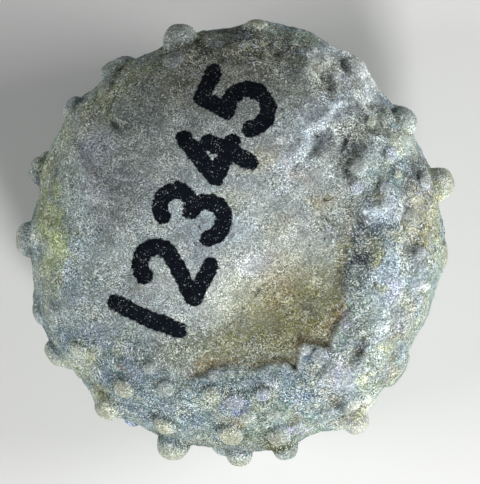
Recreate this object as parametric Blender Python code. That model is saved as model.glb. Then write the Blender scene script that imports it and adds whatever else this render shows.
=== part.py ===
"""A fossil sea urchin about eleven millimetres across, still filled and partly covered with rock: one solid.

Seen from above, +X is to the right and +Y is up the page. +Z points out of the face that shows the filled
opening. The origin is the middle of the bottom of the bounding box. Every length is in metres, as
millimetres times MM.
"""

import bmesh
import bpy
import numpy as np
from mathutils import Vector, noise

MM = 0.001

# The body is a flattened globe, a little squarer in profile than an ellipse.
BODY_RADIUS = 5.25 * MM
BODY_TOP = 3.00 * MM
BODY_BOTTOM = 2.90 * MM
PROFILE_POWER = 2.4
REST_LEVEL = -2.72 * MM  # of the worn flat underneath, measured from the widest level

# The body's radius between the knobs at the widest level: bearing in degrees from +X, radius in mm.
OUTLINE = (
    (8, 5.22), (26, 5.22), (45, 5.27), (61, 5.52), (79, 5.55), (95, 5.4), (115, 5.2), (132, 5.33),
    (150, 5.28), (168, 5.1), (187, 5.18), (205, 5.3), (222, 5.22), (243, 5.26), (261, 5.18), (277, 5.28),
    (294, 5.22), (300, 5.38), (310, 5.3), (316, 5.2), (330, 5.13), (340, 5.12), (350, 5.18),
)
OUTLINE_SPREAD = 0.35  # how steeply above or below the centre the outline's unevenness dies away

# Knobs round the rim: bearing, height above the widest level, width, how far each stands out.
RIM_KNOBS = (
    (16.0, 0.4, 0.86, 0.45), (36.0, 0.85, 0.82, 0.38), (55.5, 1.0, 0.7, 0.16), (85, 0.7, 0.68, 0.15),
    (105.5, 0.9, 0.92, 0.45), (126.3, 0.7, 0.6, 0.29), (140.5, 0.6, 0.66, 0.24), (160, 0.35, 0.74, 0.3),
    (179.3, 0.3, 0.92, 0.32), (199.8, 0.4, 0.62, 0.12), (212, 0.4, 0.8, 0.26), (232.3, 1.0, 0.8, 0.37),
    (239.8, -0.25, 0.38, 0.16), (252.8, 0.4, 0.86, 0.5), (270.8, 0.45, 0.7, 0.35),
    (283.5, 0.45, 0.66, 0.28), (303.8, 0.9, 0.72, 0.47), (321.5, 0.1, 1.0, 0.12), (356.5, 0.5, 0.7, 0.08),
)

# Knobs that show on the upper side: across, up the page, width, how far each stands out.
UPPER_KNOBS = (
    (-1.77, -4.55, 0.62, 0.24), (-2.78, -3.64, 0.58, 0.16), (-2.17, -3.16, 0.34, 0.1),
    (-1.77, -3.69, 0.48, 0.12), (-0.13, -4.75, 0.66, 0.26), (1.06, -4.72, 0.66, 0.26),
    (-0.61, -3.82, 0.5, 0.09), (-0.02, -3.96, 0.46, 0.1), (0.66, -3.79, 0.38, 0.07),
    (0.3, -4.33, 0.44, 0.1), (1.52, -4.62, 0.5, 0.12), (0.91, -4.29, 0.38, 0.08), (3.84, 2.2, 0.4, 0.09),
    (4.7, 1.52, 0.5, 0.13), (3.74, 1.37, 0.36, 0.06), (3.03, 1.38, 0.4, 0.09), (3.05, 1.88, 0.5, 0.1),
    (4.62, -0.3, 0.4, 0.08), (4.58, -1.48, 0.36, 0.06), (4.05, 1.7, 0.3, 0.05), (3.3, 2.94, 0.3, 0.06),
    (2.85, -4.05, 0.54, 0.06), (1.62, -2.66, 0.26, 0.09), (2.12, -2.9, 0.46, 0.06),
    (3.95, -2.6, 0.54, 0.06), (2.2, -4.35, 0.42, 0.08), (-1.54, 4.55, 0.62, 0.1), (-3.23, 3.79, 0.5, 0.1),
    (-4.62, 1.7, 0.5, 0.06), (-4.75, -0.15, 0.54, 0.06), (-4.55, -1.75, 0.5, 0.06),
    (-3.9, -2.7, 0.54, 0.08), (-3.95, 2.9, 0.44, 0.05), (4.42, 0.62, 0.5, 0.06), (4.3, -2.1, 0.5, 0.06),
)

HEAD_FULLNESS = 0.75  # under 1 makes a head fuller than a ball
HEAD_PART = 0.60  # the share of a knob's surface that forms its head, and the rest is its flared foot
MOST_UNDERCUT = 0.60  # of a head's height below its widest level
NECK_HEIGHT = 0.03 * MM
KNOB_FOOT = 1.7  # how wide a knob's flared foot is, as a share of the knob's own width

# The columns carry on underneath: height below the widest level, width and stand-out of each row of knobs.
COLUMN_BEARINGS = (
    17.4, 35.5, 55, 70, 84, 105, 125, 140, 160, 178, 198.5, 212, 232, 252.5, 269.5, 283.5, 305, 321.5, 340,
    357,
)
LOWER_ROWS = ((0.88, 0.78, 0.26), (1.58, 0.70, 0.32), (2.10, 0.58, 0.25), (2.44, 0.44, 0.14))
WORN_COLUMNS = (55, 70, 84, 198.5, 321.5, 340, 357)  # their first knob underneath is worn low
WORN_SHARE = 0.4  # of that knob's stand-out which is left
ROW_WANDER = 2.0  # degrees that each row of a column is out of line, to one side and the other
ROW_STEP = 0.05  # how far each knob of a row is above or below its neighbours
SIZE_VARIETY = 0.10  # the share by which knobs of one row differ in size

# The edge of the upper opening where the shell stands above its filling: across, up the page, share of drop.
LEDGE = (
    (-1.35, -3.48, 0.2), (-1.16, -3.43, 0.6), (-0.98, -3.41, 0.9), (-0.53, -3.18, 0.8), (-0.15, -3.06, 0.7),
    (0.35, -3.11, 0.8), (0.66, -3.03, 0.8), (1.24, -3.06, 0.9), (1.50, -3.20, 1.0), (1.55, -2.90, 1.0),
    (1.54, -2.60, 1.0), (1.87, -2.56, 1.0), (2.37, -2.63, 1.0), (2.40, -2.35, 1.0), (2.47, -2.05, 1.0),
    (2.75, -1.89, 0.8), (2.78, -1.46, 0.4), (2.70, -0.96, 0.3), (2.73, -0.51, 0.2), (2.83, -0.08, 0.1),
    (3.01, 0.43, 0.1), (3.13, 0.73, 0.0),
)
LEDGE_STEP = 0.10 * MM
LEDGE_STEP_FADES = 0.90 * MM  # how far from the edge the filling is level with the shell again
LEDGE_LIP = 0.03 * MM
LEDGE_LIP_PLACE = 0.12 * MM  # outside the edge
LEDGE_LIP_WIDTH = 0.14 * MM
LEDGE_WIDTH = 0.10 * MM
LEDGE_SOFTENING = 0.90 * MM  # added to the width where the edge has no step
LEDGE_RAGGED = ((0.45 * MM, 0.10 * MM), (0.20 * MM, 0.07 * MM))  # size of its bends, and how far they stray
CORNER_REACH = 0.22 * MM  # how far a corner's share of the drop spreads
# The filling has sunk in one broad bowl: across, up the page, length, width, bearing of the length, depth.
BOWL = (1.25, -1.75, 5.0, 2.7, 36, 0.46)
BOWL_SPILL = 0.55 * MM  # how far the bowl carries on under the shell's edge
# The rest of the opening's edge is hidden, so it only closes the loop.
HIDDEN_EDGE = (
    (3.0, 1.7), (2.3, 2.7), (1.1, 3.4), (-0.6, 3.6), (-2.2, 3.1), (-3.2, 1.9), (-3.4, 0.2), (-3.0, -1.6),
)

OVAL_EDGE = 0.3  # the share of a hollow's depth that is left at its oval's edge

# Hollows in the upper side: across, up the page, length, width, bearing of the length, depth. A ridge has a
# negative depth.
HOLLOWS = (
    (3.05, -2.66, 0.76, 0.32, 68, 0.22), (2.5, -4.02, 0.56, 0.32, 60, 0.18),
    (4.46, 1.75, 0.8, 0.36, 75, 0.12), (2.15, 2.65, 0.8, 0.46, 10, 0.1), (2.66, 2.45, 0.6, 0.2, 62, 0.16),
    (3.48, 2.8, 0.75, 0.32, -10, 0.13), (2.62, 2.05, 0.5, 0.26, 120, 0.08),
    (-2.95, 2.88, 0.44, 0.2, -40, 0.14), (-3.35, 1.8, 0.7, 0.4, 110, 0.06),
    (-1.7, -2.95, 0.6, 0.36, 30, 0.07), (1.95, -3.25, 0.8, 0.4, 10, 0.1), (3.4, -0.2, 1.1, 0.5, 85, 0.08),
    (2.1, 0.7, 0.7, 0.24, 130, 0.06), (3.6, -3.2, 0.9, 0.3, 62, 0.07), (-2.3, 3.45, 1.2, 0.4, 150, 0.06),
    (-3.8, 1.9, 2.6, 0.34, 118, -0.07), (-2.8, -0.6, 1.6, 0.6, 80, 0.05), (0.2, 4.2, 1.4, 0.4, 5, 0.08),
    (2.31, 3.21, 1.3, 0.42, 41, -0.12), (1.62, 2.41, 1.0, 0.36, 58, -0.05), (2.35, 3.86, 0.5, 0.4, 0, 0.12),
    (3.38, 3.41, 0.3, 0.24, 0, 0.1), (3.51, 3.66, 0.24, 0.2, 0, 0.08), (2.55, 2.63, 0.2, 0.18, 0, 0.1),
    (4.12, 2.47, 1.0, 0.36, 45, -0.08), (4.1, 3.3, 0.36, 0.18, 75, 0.1), (-3.22, 2.05, 1.5, 0.18, 95, 0.06),
    (3.67, 0.86, 0.74, 0.46, 4, -0.1), (3.96, -0.85, 1.4, 0.62, 76, -0.1),
    (4.35, -0.12, 0.6, 0.32, 70, 0.09), (2.65, -0.35, 2.0, 0.34, 88, 0.06),
    (-1.16, 4.02, 0.34, 0.26, 0, 0.05),
)

# The filling of the lower opening, worn flat, has a groove round it.
LOWER_EDGE = 2.66 * MM
LOWER_EDGE_CORNERS = 0.09 * MM  # how far its five corners reach out
LOWER_EDGE_TURN = 0.6  # radians
GROOVE_WIDTH = 0.13 * MM
GROOVE_DEPTH = 0.12 * MM

# The shell swells along each column of knobs, most at the widest level.
RIB_HEIGHT = 0.08 * MM
RIB_WIDTH = 5.5  # degrees from a column to where its swell has fallen to about a third
RIBS_START, RIBS_FULL = 3.2 * MM, 5.1 * MM  # distances from the axis

# Unevenness of the whole surface: size and height of the swells, coarse and fine.
SWELLS = ((1.6 * MM, 0.10 * MM), (0.75 * MM, 0.045 * MM))

START_DIVISIONS = 8
START_FLATTENING = 0.7
FINISHED_TRIANGLES = 9600
REST_TOLERANCE = 0.012 * MM  # corners this near the lowest one belong to the worn flat


def smooth(share):
    share = np.clip(share, 0.0, 1.0)
    return share * share * (3.0 - 2.0 * share)


def outline_radius(bearing):
    """The body's radius between the knobs at these bearings in degrees."""
    at, radius = np.array(OUTLINE + ((OUTLINE[0][0] + 360, OUTLINE[0][1]),)).T
    turned = (bearing - at[0]) % 360.0 + at[0]
    i = np.clip(np.searchsorted(at, turned, side="right") - 1, 0, len(at) - 2)
    share = smooth((turned - at[i]) / (at[i + 1] - at[i]))
    return (radius[i] + share * (radius[i + 1] - radius[i])) * MM


def body(directions):
    """Points of the smooth body, one for each direction from its centre, and the ways out of it there."""
    x, y, z = directions.T
    flat = np.maximum(np.hypot(x, y), 1e-9)
    spread = np.exp(-((np.abs(z) / flat / OUTLINE_SPREAD) ** 2))
    uneven = outline_radius(np.degrees(np.arctan2(y, x))) - BODY_RADIUS
    radius = BODY_RADIUS + uneven * spread
    half = np.where(z > 0, BODY_TOP, BODY_BOTTOM)
    size = ((flat / radius) ** PROFILE_POWER + (np.abs(z) / half) ** PROFILE_POWER) ** (-1.0 / PROFILE_POWER)
    points = directions * size[:, None]
    across = (flat * size / radius) ** (PROFILE_POWER - 1.0) / radius
    upward = (np.abs(z) * size / half) ** (PROFILE_POWER - 1.0) / half * np.sign(z)
    out = np.column_stack([across * x / flat, across * y / flat, upward])
    return points, out / np.linalg.norm(out, axis=1)[:, None]


def spot_at_level(bearing, level):
    """The point of the body on this bearing and at this height, and the way out there."""
    half = BODY_TOP if level > 0 else BODY_BOTTOM
    flat = BODY_RADIUS * (1.0 - (abs(level) / half) ** PROFILE_POWER) ** (1.0 / PROFILE_POWER)
    turn = np.radians(bearing)
    direction = np.array([[flat * np.cos(turn), flat * np.sin(turn), level]])
    point, out = body(direction / np.linalg.norm(direction))
    return point[0], out[0]


def spot_from_above(across, up):
    """The point of the body's upper side that shows here from above, and the way out there."""
    share = min(np.hypot(across, up) / BODY_RADIUS, 0.999)
    level = BODY_TOP * (1.0 - share**PROFILE_POWER) ** (1.0 / PROFILE_POWER)
    direction = np.array([[across, up, level]])
    point, out = body(direction / np.linalg.norm(direction))
    return point[0], out[0]


def ribs(points):
    """How far the shell swells out along its columns."""
    bearing = np.degrees(np.arctan2(points[:, 1], points[:, 0]))
    off = np.abs((bearing[:, None] - np.array(COLUMN_BEARINGS) + 180.0) % 360.0 - 180.0).min(axis=1)
    reach = smooth((np.hypot(points[:, 0], points[:, 1]) - RIBS_START) / (RIBS_FULL - RIBS_START))
    return RIB_HEIGHT * np.exp(-((off / RIB_WIDTH) ** 2)) * reach


def swell(points, size):
    """Smooth unevenness between about -1 and 1, with lumps of this size."""
    return np.array([noise.noise(Vector(p)) for p in points / size])


def edge_line(points, line):
    """Each point's distance from a line of corners seen from above, and the line's third value near it."""
    nearest = np.full(len(points), np.inf)
    pull, value = np.zeros(len(points)), np.zeros(len(points))
    for start, end in zip(line[:-1], line[1:]):
        a = np.array(start[:2]) * MM
        side = np.array(end[:2]) * MM - a
        share = np.clip((points[:, :2] - a) @ side / (side @ side), 0.0, 1.0)
        away = np.linalg.norm(points[:, :2] - a - share[:, None] * side, axis=1)
        nearest = np.minimum(nearest, away)
        weight = np.exp(-away / CORNER_REACH)
        pull += weight
        value += weight * (start[2] + share * (end[2] - start[2]))
    return nearest, value / np.maximum(pull, 1e-30)


def inside_loop(points, loop):
    """Which points lie inside this closed loop of corners, seen from above."""
    x, y = points[:, 0] / MM, points[:, 1] / MM
    inside = np.zeros(len(points), bool)
    for (x0, y0), (x1, y1) in zip(loop, loop[1:] + loop[:1]):
        crosses = (y0 > y) != (y1 > y)
        inside ^= crosses & (x < x0 + (x1 - x0) * (y - y0) / (y1 - y0 + 1e-12))
    return inside


OPENING = [corner[:2] for corner in LEDGE] + list(HIDDEN_EDGE)


def oval(points, across, up, length, width, bearing):
    """1 at the middle of an oval seen from above, OVAL_EDGE at its edge and falling to nothing outside."""
    turn = np.radians(bearing)
    x, y = points[:, 0] / MM - across, points[:, 1] / MM - up
    along = (x * np.cos(turn) + y * np.sin(turn)) / (0.5 * length)
    aside = (y * np.cos(turn) - x * np.sin(turn)) / (0.5 * width)
    return OVAL_EDGE ** (along**2 + aside**2)


def filled_opening(points):
    """How far the upper side moves up or down for the sunken filling and the shell's raised edge."""
    away, share = edge_line(points, LEDGE)
    signed = np.where(inside_loop(points, OPENING), away, -away)
    signed += sum(stray * swell(points, size) for size, stray in LEDGE_RAGGED)
    width = LEDGE_WIDTH + LEDGE_SOFTENING * (1.0 - share)
    inside = smooth(0.5 + signed / width)
    lip = np.exp(-(((signed + LEDGE_LIP_PLACE) / LEDGE_LIP_WIDTH) ** 2))
    step = LEDGE_STEP * share * inside * (1.0 - smooth(signed / LEDGE_STEP_FADES))
    bowl = oval(points, *BOWL[:5]) * np.exp(np.minimum(signed, 0.0) / BOWL_SPILL)
    top = points[:, 2] > 0
    return np.where(top, LEDGE_LIP * share * lip - step - BOWL[5] * MM * bowl, 0.0)


def hollows(points):
    """How far the upper side sinks at the separate hollows."""
    sunk = sum(hollow[5] * MM * oval(points, *hollow[:5]) for hollow in HOLLOWS)
    return np.where(points[:, 2] > 0, sunk, 0.0)


def groove(points):
    """How far the underside rises in the groove round the lower filling."""
    turn = np.arctan2(points[:, 1], points[:, 0])
    edge = LOWER_EDGE + LOWER_EDGE_CORNERS * np.cos(5.0 * turn + LOWER_EDGE_TURN)
    away = (np.hypot(points[:, 0], points[:, 1]) - edge) / GROOVE_WIDTH
    return np.where(points[:, 2] < 0, GROOVE_DEPTH * np.exp(-(away**2)), 0.0)


def raise_knob(points, spot, out, width, proud):
    """Draws the surface round this spot out into a knob: a rounded head whose neck flares into the body."""
    head = 0.5 * width
    foot = max(proud - head, 0.0)
    dome = proud - foot
    turn_under = np.arccos(-min(max(foot - NECK_HEIGHT, 0.0) / dome, MOST_UNDERCUT))
    reach = head * KNOB_FOOT
    to = points - spot
    height = to @ out
    flat = to - height[:, None] * out
    away = np.linalg.norm(flat, axis=1)
    near = (away < reach) & (np.abs(height) < width + proud)
    share = away[near] / reach
    angle = np.minimum(share / HEAD_PART, 1.0) * turn_under
    flare = np.clip((share - HEAD_PART) / (1.0 - HEAD_PART), 0.0, 1.0)
    neck_radius = head * np.sin(turn_under) ** HEAD_FULLNESS
    neck_height = foot + dome * np.cos(turn_under)
    on_head = share < HEAD_PART
    on_flare = neck_radius + flare * (reach - neck_radius)
    new_away = np.where(on_head, head * np.sin(angle) ** HEAD_FULLNESS, on_flare)
    rise = np.where(on_head, foot + dome * np.cos(angle), neck_height * (1.0 - flare) ** 2)
    outward = flat[near] / np.maximum(away[near], 1e-12)[:, None]
    points[near] = spot + outward * new_away[:, None] + out * (height[near] + rise)[:, None]


def lower_knobs():
    """Spot, way out, width and stand-out of each knob underneath."""
    for column, bearing in enumerate(COLUMN_BEARINGS):
        for row, (level, width, proud) in enumerate(LOWER_ROWS):
            side = 1.0 if (column + row) % 2 else -1.0
            scale = 1.0 + SIZE_VARIETY * np.sin(2.4 * column + 5.1 * row)
            left = WORN_SHARE if row == 0 and bearing in WORN_COLUMNS else 1.0
            spot, out = spot_at_level(bearing + side * ROW_WANDER, -(level + ROW_STEP * side) * MM)
            yield spot, out, width * scale * MM, proud * scale * left * MM


def all_knobs():
    for bearing, level, width, proud in RIM_KNOBS:
        yield *spot_at_level(bearing, level * MM), width * MM, proud * MM
    for across, up, width, proud in UPPER_KNOBS:
        yield *spot_from_above(across * MM, up * MM), width * MM, proud * MM
    yield from lower_knobs()


def fossil_surface(directions):
    """The finished surface, one point for each direction from the centre."""
    points, out = body(directions)
    uneven = sum(height * swell(points, size) for size, height in SWELLS) + ribs(points)
    moved = filled_opening(points) - hollows(points) + groove(points)
    points = points + out * uneven[:, None]
    points[:, 2] += moved
    for spot, way_out, width, proud in all_knobs():
        raise_knob(points, spot, way_out, width, proud)
    points[:, 2] = np.maximum(points[:, 2], REST_LEVEL)
    return points


def sphere_mesh():
    """An even ball of triangles, to be drawn out into the fossil."""
    ball = bmesh.new()
    bmesh.ops.create_icosphere(ball, subdivisions=START_DIVISIONS, radius=1.0)
    mesh = bpy.data.meshes.new("fossil_urchin")
    ball.to_mesh(mesh)
    ball.free()
    return mesh


def corners_of(mesh):
    flat = np.empty(len(mesh.vertices) * 3)
    mesh.vertices.foreach_get("co", flat)
    return flat.reshape(-1, 3)


def put_corners(mesh, points):
    mesh.vertices.foreach_set("co", np.ascontiguousarray(points, np.float32).ravel())
    mesh.update()


def simplified(obj):
    """The object's mesh with fewer triangles, kept where the surface bends most."""
    thin = obj.modifiers.new("fewer_triangles", "DECIMATE")
    thin.ratio = FINISHED_TRIANGLES / len(obj.data.polygons)
    thin.use_collapse_triangulate = True
    thin.show_render = thin.show_viewport
    graph = bpy.context.evaluated_depsgraph_get()
    mesh = bpy.data.meshes.new_from_object(obj.evaluated_get(graph))
    obj.modifiers.remove(thin)
    return mesh


def level_rest(points):
    """Puts the corners of the worn flat exactly in one plane."""
    lowest = points[:, 2].min()
    points[:, 2] = np.where(points[:, 2] < lowest + REST_TOLERANCE, lowest, points[:, 2])
    return points


def centred(points):
    """Moves the origin to the middle of the bottom of the bounding box."""
    low, high = points.min(axis=0), points.max(axis=0)
    return points - np.array([(low[0] + high[0]) / 2, (low[1] + high[1]) / 2, low[2]])


def stone():
    material = bpy.data.materials.new("fossil_stone")
    material.use_nodes = True
    shader = material.node_tree.nodes["Principled BSDF"]
    shader.inputs["Base Color"].default_value = (0.38, 0.40, 0.36, 1.0)
    shader.inputs["Roughness"].default_value = 0.85
    return material


def build():
    for old in list(bpy.data.objects):
        bpy.data.objects.remove(old)
    fossil = bpy.data.objects.new("fossil_urchin", sphere_mesh())
    bpy.context.scene.collection.objects.link(fossil)
    directions = corners_of(fossil.data) * np.array([1.0, 1.0, START_FLATTENING])
    directions /= np.linalg.norm(directions, axis=1)[:, None]
    # The unit ball is drawn out in millimetres, so that the triangle count is reduced at a sound scale.
    put_corners(fossil.data, fossil_surface(directions) / MM)
    fossil.data = simplified(fossil)
    put_corners(fossil.data, centred(level_rest(corners_of(fossil.data) * MM)))
    fossil.data.materials.append(stone())
    print("triangles:", len(fossil.data.polygons))


build()
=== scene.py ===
# %% [markdown]
# # A fossil sea urchin
#
# The object is a flattened sea urchin, about eleven millimetres across, that has turned to stone. Its shell
# carries rounded knobs, which the spines once stood on. Rock fills the opening in the upper side and still
# hides part of the shell, and plain figures are inked on the rock.
#
# The lesson goes from the smooth body through its relief to the colours, and ends with the light and the
# camera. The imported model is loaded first. It says where everything stands, and its box is kept for later.
#
# Places on the upper side are given in mm from the body's axis, seen from above: across is +X, to the right,
# and up is +Y. Bearings are in degrees and turn from +X towards +Y.

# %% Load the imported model
import bmesh
import bpy
import numpy as np
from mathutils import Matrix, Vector, noise


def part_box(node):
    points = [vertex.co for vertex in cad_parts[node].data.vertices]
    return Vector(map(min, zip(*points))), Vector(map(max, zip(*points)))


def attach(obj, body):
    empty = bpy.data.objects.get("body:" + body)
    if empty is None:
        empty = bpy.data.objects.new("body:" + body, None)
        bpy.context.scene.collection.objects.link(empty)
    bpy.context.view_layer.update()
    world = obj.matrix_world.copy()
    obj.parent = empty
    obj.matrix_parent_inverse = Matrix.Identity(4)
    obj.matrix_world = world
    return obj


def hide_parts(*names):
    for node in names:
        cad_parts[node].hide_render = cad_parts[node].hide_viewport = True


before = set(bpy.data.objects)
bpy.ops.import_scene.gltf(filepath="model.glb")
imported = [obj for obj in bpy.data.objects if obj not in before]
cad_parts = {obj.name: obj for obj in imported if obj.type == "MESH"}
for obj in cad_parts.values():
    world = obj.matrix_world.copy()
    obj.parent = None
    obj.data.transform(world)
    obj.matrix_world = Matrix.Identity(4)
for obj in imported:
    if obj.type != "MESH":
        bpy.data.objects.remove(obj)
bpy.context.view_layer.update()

NODE = "fossil_urchin"
MM = 0.001

# %% [markdown]
# ## The body
#
# An urchin's shell is a flattened globe, a little squarer in profile than an ellipse. A formula gives that
# form directly: each point of a ball moves out or in until it lies on the profile. The outline isn't a true
# circle, so its radius is a short list of distances measured at the widest level, and a smooth curve joins
# them. Building on a formula keeps every later step a function of where a point is.

# %% Sizes of the body
BODY_RADIUS = 5.25 * MM
BODY_TOP = 3.00 * MM
BODY_BOTTOM = 2.90 * MM
PROFILE_POWER = 2.4
REST_LEVEL = -2.72 * MM  # the worn flat underneath, measured from the widest level

# Bearing in degrees from +X, and the radius there between the knobs in mm.
OUTLINE = (
    (8, 5.22), (26, 5.22), (45, 5.27), (61, 5.52), (79, 5.55), (95, 5.4), (115, 5.2), (132, 5.33),
    (150, 5.28), (168, 5.1), (187, 5.18), (205, 5.3), (222, 5.22), (243, 5.26), (261, 5.18), (277, 5.28),
    (294, 5.22), (300, 5.38), (310, 5.3), (316, 5.2), (330, 5.13), (340, 5.12), (350, 5.18),
)
OUTLINE_SPREAD = 0.35  # how steeply above or below the centre the outline's unevenness dies away
print("width between the knobs and height, mm:", 2.0 * BODY_RADIUS / MM, (BODY_TOP - REST_LEVEL) / MM)


# %% Functions for the body
def smooth(share):
    share = np.clip(share, 0.0, 1.0)
    return share * share * (3.0 - 2.0 * share)


def outline_radius(bearing):
    """The body's radius between the knobs at these bearings in degrees."""
    at, radius = np.array(OUTLINE + ((OUTLINE[0][0] + 360, OUTLINE[0][1]),)).T
    turned = (bearing - at[0]) % 360.0 + at[0]
    i = np.clip(np.searchsorted(at, turned, side="right") - 1, 0, len(at) - 2)
    share = smooth((turned - at[i]) / (at[i + 1] - at[i]))
    return (radius[i] + share * (radius[i + 1] - radius[i])) * MM


def body(directions):
    """Points of the smooth body, one for each direction from its centre, and the ways out of it there."""
    x, y, z = directions.T
    flat = np.maximum(np.hypot(x, y), 1e-9)
    spread = np.exp(-((np.abs(z) / flat / OUTLINE_SPREAD) ** 2))
    uneven = outline_radius(np.degrees(np.arctan2(y, x))) - BODY_RADIUS
    radius = BODY_RADIUS + uneven * spread
    half = np.where(z > 0, BODY_TOP, BODY_BOTTOM)
    size = ((flat / radius) ** PROFILE_POWER + (np.abs(z) / half) ** PROFILE_POWER) ** (-1.0 / PROFILE_POWER)
    points = directions * size[:, None]
    across = (flat * size / radius) ** (PROFILE_POWER - 1.0) / radius
    upward = (np.abs(z) * size / half) ** (PROFILE_POWER - 1.0) / half * np.sign(z)
    out = np.column_stack([across * x / flat, across * y / flat, upward])
    return points, out / np.linalg.norm(out, axis=1)[:, None]


def spot_on_body(across, up, level):
    """The body's point in the direction of these three distances, and the way out there."""
    direction = np.array([[across, up, level]])
    point, out = body(direction / np.linalg.norm(direction))
    return point[0], out[0]


def spot_at_level(bearing, level):
    """The point of the body on this bearing and at this height."""
    half = BODY_TOP if level > 0 else BODY_BOTTOM
    flat = BODY_RADIUS * (1.0 - (abs(level) / half) ** PROFILE_POWER) ** (1.0 / PROFILE_POWER)
    turn = np.radians(bearing)
    return spot_on_body(flat * np.cos(turn), flat * np.sin(turn), level)


def spot_from_above(across, up):
    """The point of the body's upper side that shows here from above."""
    share = min(np.hypot(across, up) / BODY_RADIUS, 0.999)
    return spot_on_body(across, up, BODY_TOP * (1.0 - share**PROFILE_POWER) ** (1.0 / PROFILE_POWER))


heights = [spot_from_above(across * MM, 0.0)[0][2] / MM for across in (0.0, 5.0)]
print("height above the widest level at the middle and near the rim, mm:", heights)

# %% [markdown]
# ## The filled opening
#
# Rock fills the opening. Along the lower right it has sunk below the shell, whose broken edge stands above
# it in a jagged line, and on the other side it rises over the shell and hides it. The drop is measured from
# the edge's corners: every point finds its distance to the line, and the fall is full there and fades with
# distance. Separate hollows and a groove round the lower opening are made with the same few tools.

# %% Sizes of the edge and the hollows
# Across, up, and the share of the full drop.
LEDGE = (
    (-1.35, -3.48, 0.2), (-1.16, -3.43, 0.6), (-0.98, -3.41, 0.9), (-0.53, -3.18, 0.8), (-0.15, -3.06, 0.7),
    (0.35, -3.11, 0.8), (0.66, -3.03, 0.8), (1.24, -3.06, 0.9), (1.50, -3.20, 1.0), (1.55, -2.90, 1.0),
    (1.54, -2.60, 1.0), (1.87, -2.56, 1.0), (2.37, -2.63, 1.0), (2.40, -2.35, 1.0), (2.47, -2.05, 1.0),
    (2.75, -1.89, 0.8), (2.78, -1.46, 0.4), (2.70, -0.96, 0.3), (2.73, -0.51, 0.2), (2.83, -0.08, 0.1),
    (3.01, 0.43, 0.1), (3.13, 0.73, 0.0),
)
LEDGE_STEP = 0.10 * MM
LEDGE_STEP_FADES = 0.90 * MM  # how far from the edge the filling is level with the shell again
LEDGE_LIP = 0.03 * MM
LEDGE_LIP_PLACE = 0.12 * MM  # outside the edge
LEDGE_LIP_WIDTH = 0.14 * MM
LEDGE_WIDTH = 0.10 * MM
LEDGE_SOFTENING = 0.90 * MM  # added to the width where the edge has no step
LEDGE_RAGGED = ((0.45 * MM, 0.10 * MM), (0.20 * MM, 0.07 * MM))  # size of its bends, and how far they stray
CORNER_REACH = 0.22 * MM  # how far a corner's share of the drop spreads
EDGE_REACH = 0.16 * MM  # how far rust, painted light against the edge's shadow, and crumbs spread from the broken edge
# The filling has sunk in one broad bowl: across, up, length, width, bearing of the length, depth.
BOWL = (1.25, -1.75, 5.0, 2.7, 36, 0.46)
BOWL_SPILL = 0.55 * MM  # how far the bowl carries on under the shell's edge
# The rest of the opening's edge is hidden, so it only closes the loop.
HIDDEN_EDGE = (
    (3.0, 1.7), (2.3, 2.7), (1.1, 3.4), (-0.6, 3.6), (-2.2, 3.1), (-3.2, 1.9), (-3.4, 0.2), (-3.0, -1.6),
)

OPENING = [corner[:2] for corner in LEDGE] + list(HIDDEN_EDGE)

# Hollows in the upper side: across, up, length, width, bearing of the length, depth. A ridge has a
# negative depth.
HOLLOWS = (
    (3.05, -2.66, 0.76, 0.32, 68, 0.22), (2.5, -4.02, 0.56, 0.32, 60, 0.18),
    (4.46, 1.75, 0.8, 0.36, 75, 0.12), (2.15, 2.65, 0.8, 0.46, 10, 0.1), (2.66, 2.45, 0.6, 0.2, 62, 0.16),
    (3.48, 2.8, 0.75, 0.32, -10, 0.13), (2.62, 2.05, 0.5, 0.26, 120, 0.08),
    (-2.95, 2.88, 0.44, 0.2, -40, 0.14), (-3.35, 1.8, 0.7, 0.4, 110, 0.06),
    (-1.7, -2.95, 0.6, 0.36, 30, 0.07), (1.95, -3.25, 0.8, 0.4, 10, 0.1), (3.4, -0.2, 1.1, 0.5, 85, 0.08),
    (2.1, 0.7, 0.7, 0.24, 130, 0.06), (3.6, -3.2, 0.9, 0.3, 62, 0.07), (-2.3, 3.45, 1.2, 0.4, 150, 0.06),
    (-3.8, 1.9, 2.6, 0.34, 118, -0.07), (-2.8, -0.6, 1.6, 0.6, 80, 0.05), (0.2, 4.2, 1.4, 0.4, 5, 0.08),
    (2.31, 3.21, 1.3, 0.42, 41, -0.12), (1.62, 2.41, 1.0, 0.36, 58, -0.05), (2.35, 3.86, 0.5, 0.4, 0, 0.12),
    (3.38, 3.41, 0.3, 0.24, 0, 0.1), (3.51, 3.66, 0.24, 0.2, 0, 0.08), (2.55, 2.63, 0.2, 0.18, 0, 0.1),
    (4.12, 2.47, 1.0, 0.36, 45, -0.08), (4.1, 3.3, 0.36, 0.18, 75, 0.1), (-3.22, 2.05, 1.5, 0.18, 95, 0.06),
    (3.67, 0.86, 0.74, 0.46, 4, -0.1), (3.96, -0.85, 1.4, 0.62, 76, -0.1),
    (4.35, -0.12, 0.6, 0.32, 70, 0.09), (2.65, -0.35, 2.0, 0.34, 88, 0.06),
    (-1.16, 4.02, 0.34, 0.26, 0, 0.05),
)

OVAL_EDGE = 0.3  # the share of a hollow's depth that is left at its oval's edge

# The filling of the lower opening, worn flat, has a groove round it.
LOWER_EDGE = 2.66 * MM
LOWER_EDGE_CORNERS = 0.09 * MM  # how far its five corners reach out
LOWER_EDGE_TURN = 0.6  # radians
GROOVE_WIDTH = 0.13 * MM
GROOVE_DEPTH = 0.12 * MM
print("corners of the broken edge:", len(LEDGE), "hollows and ridges:", len(HOLLOWS))


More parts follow.
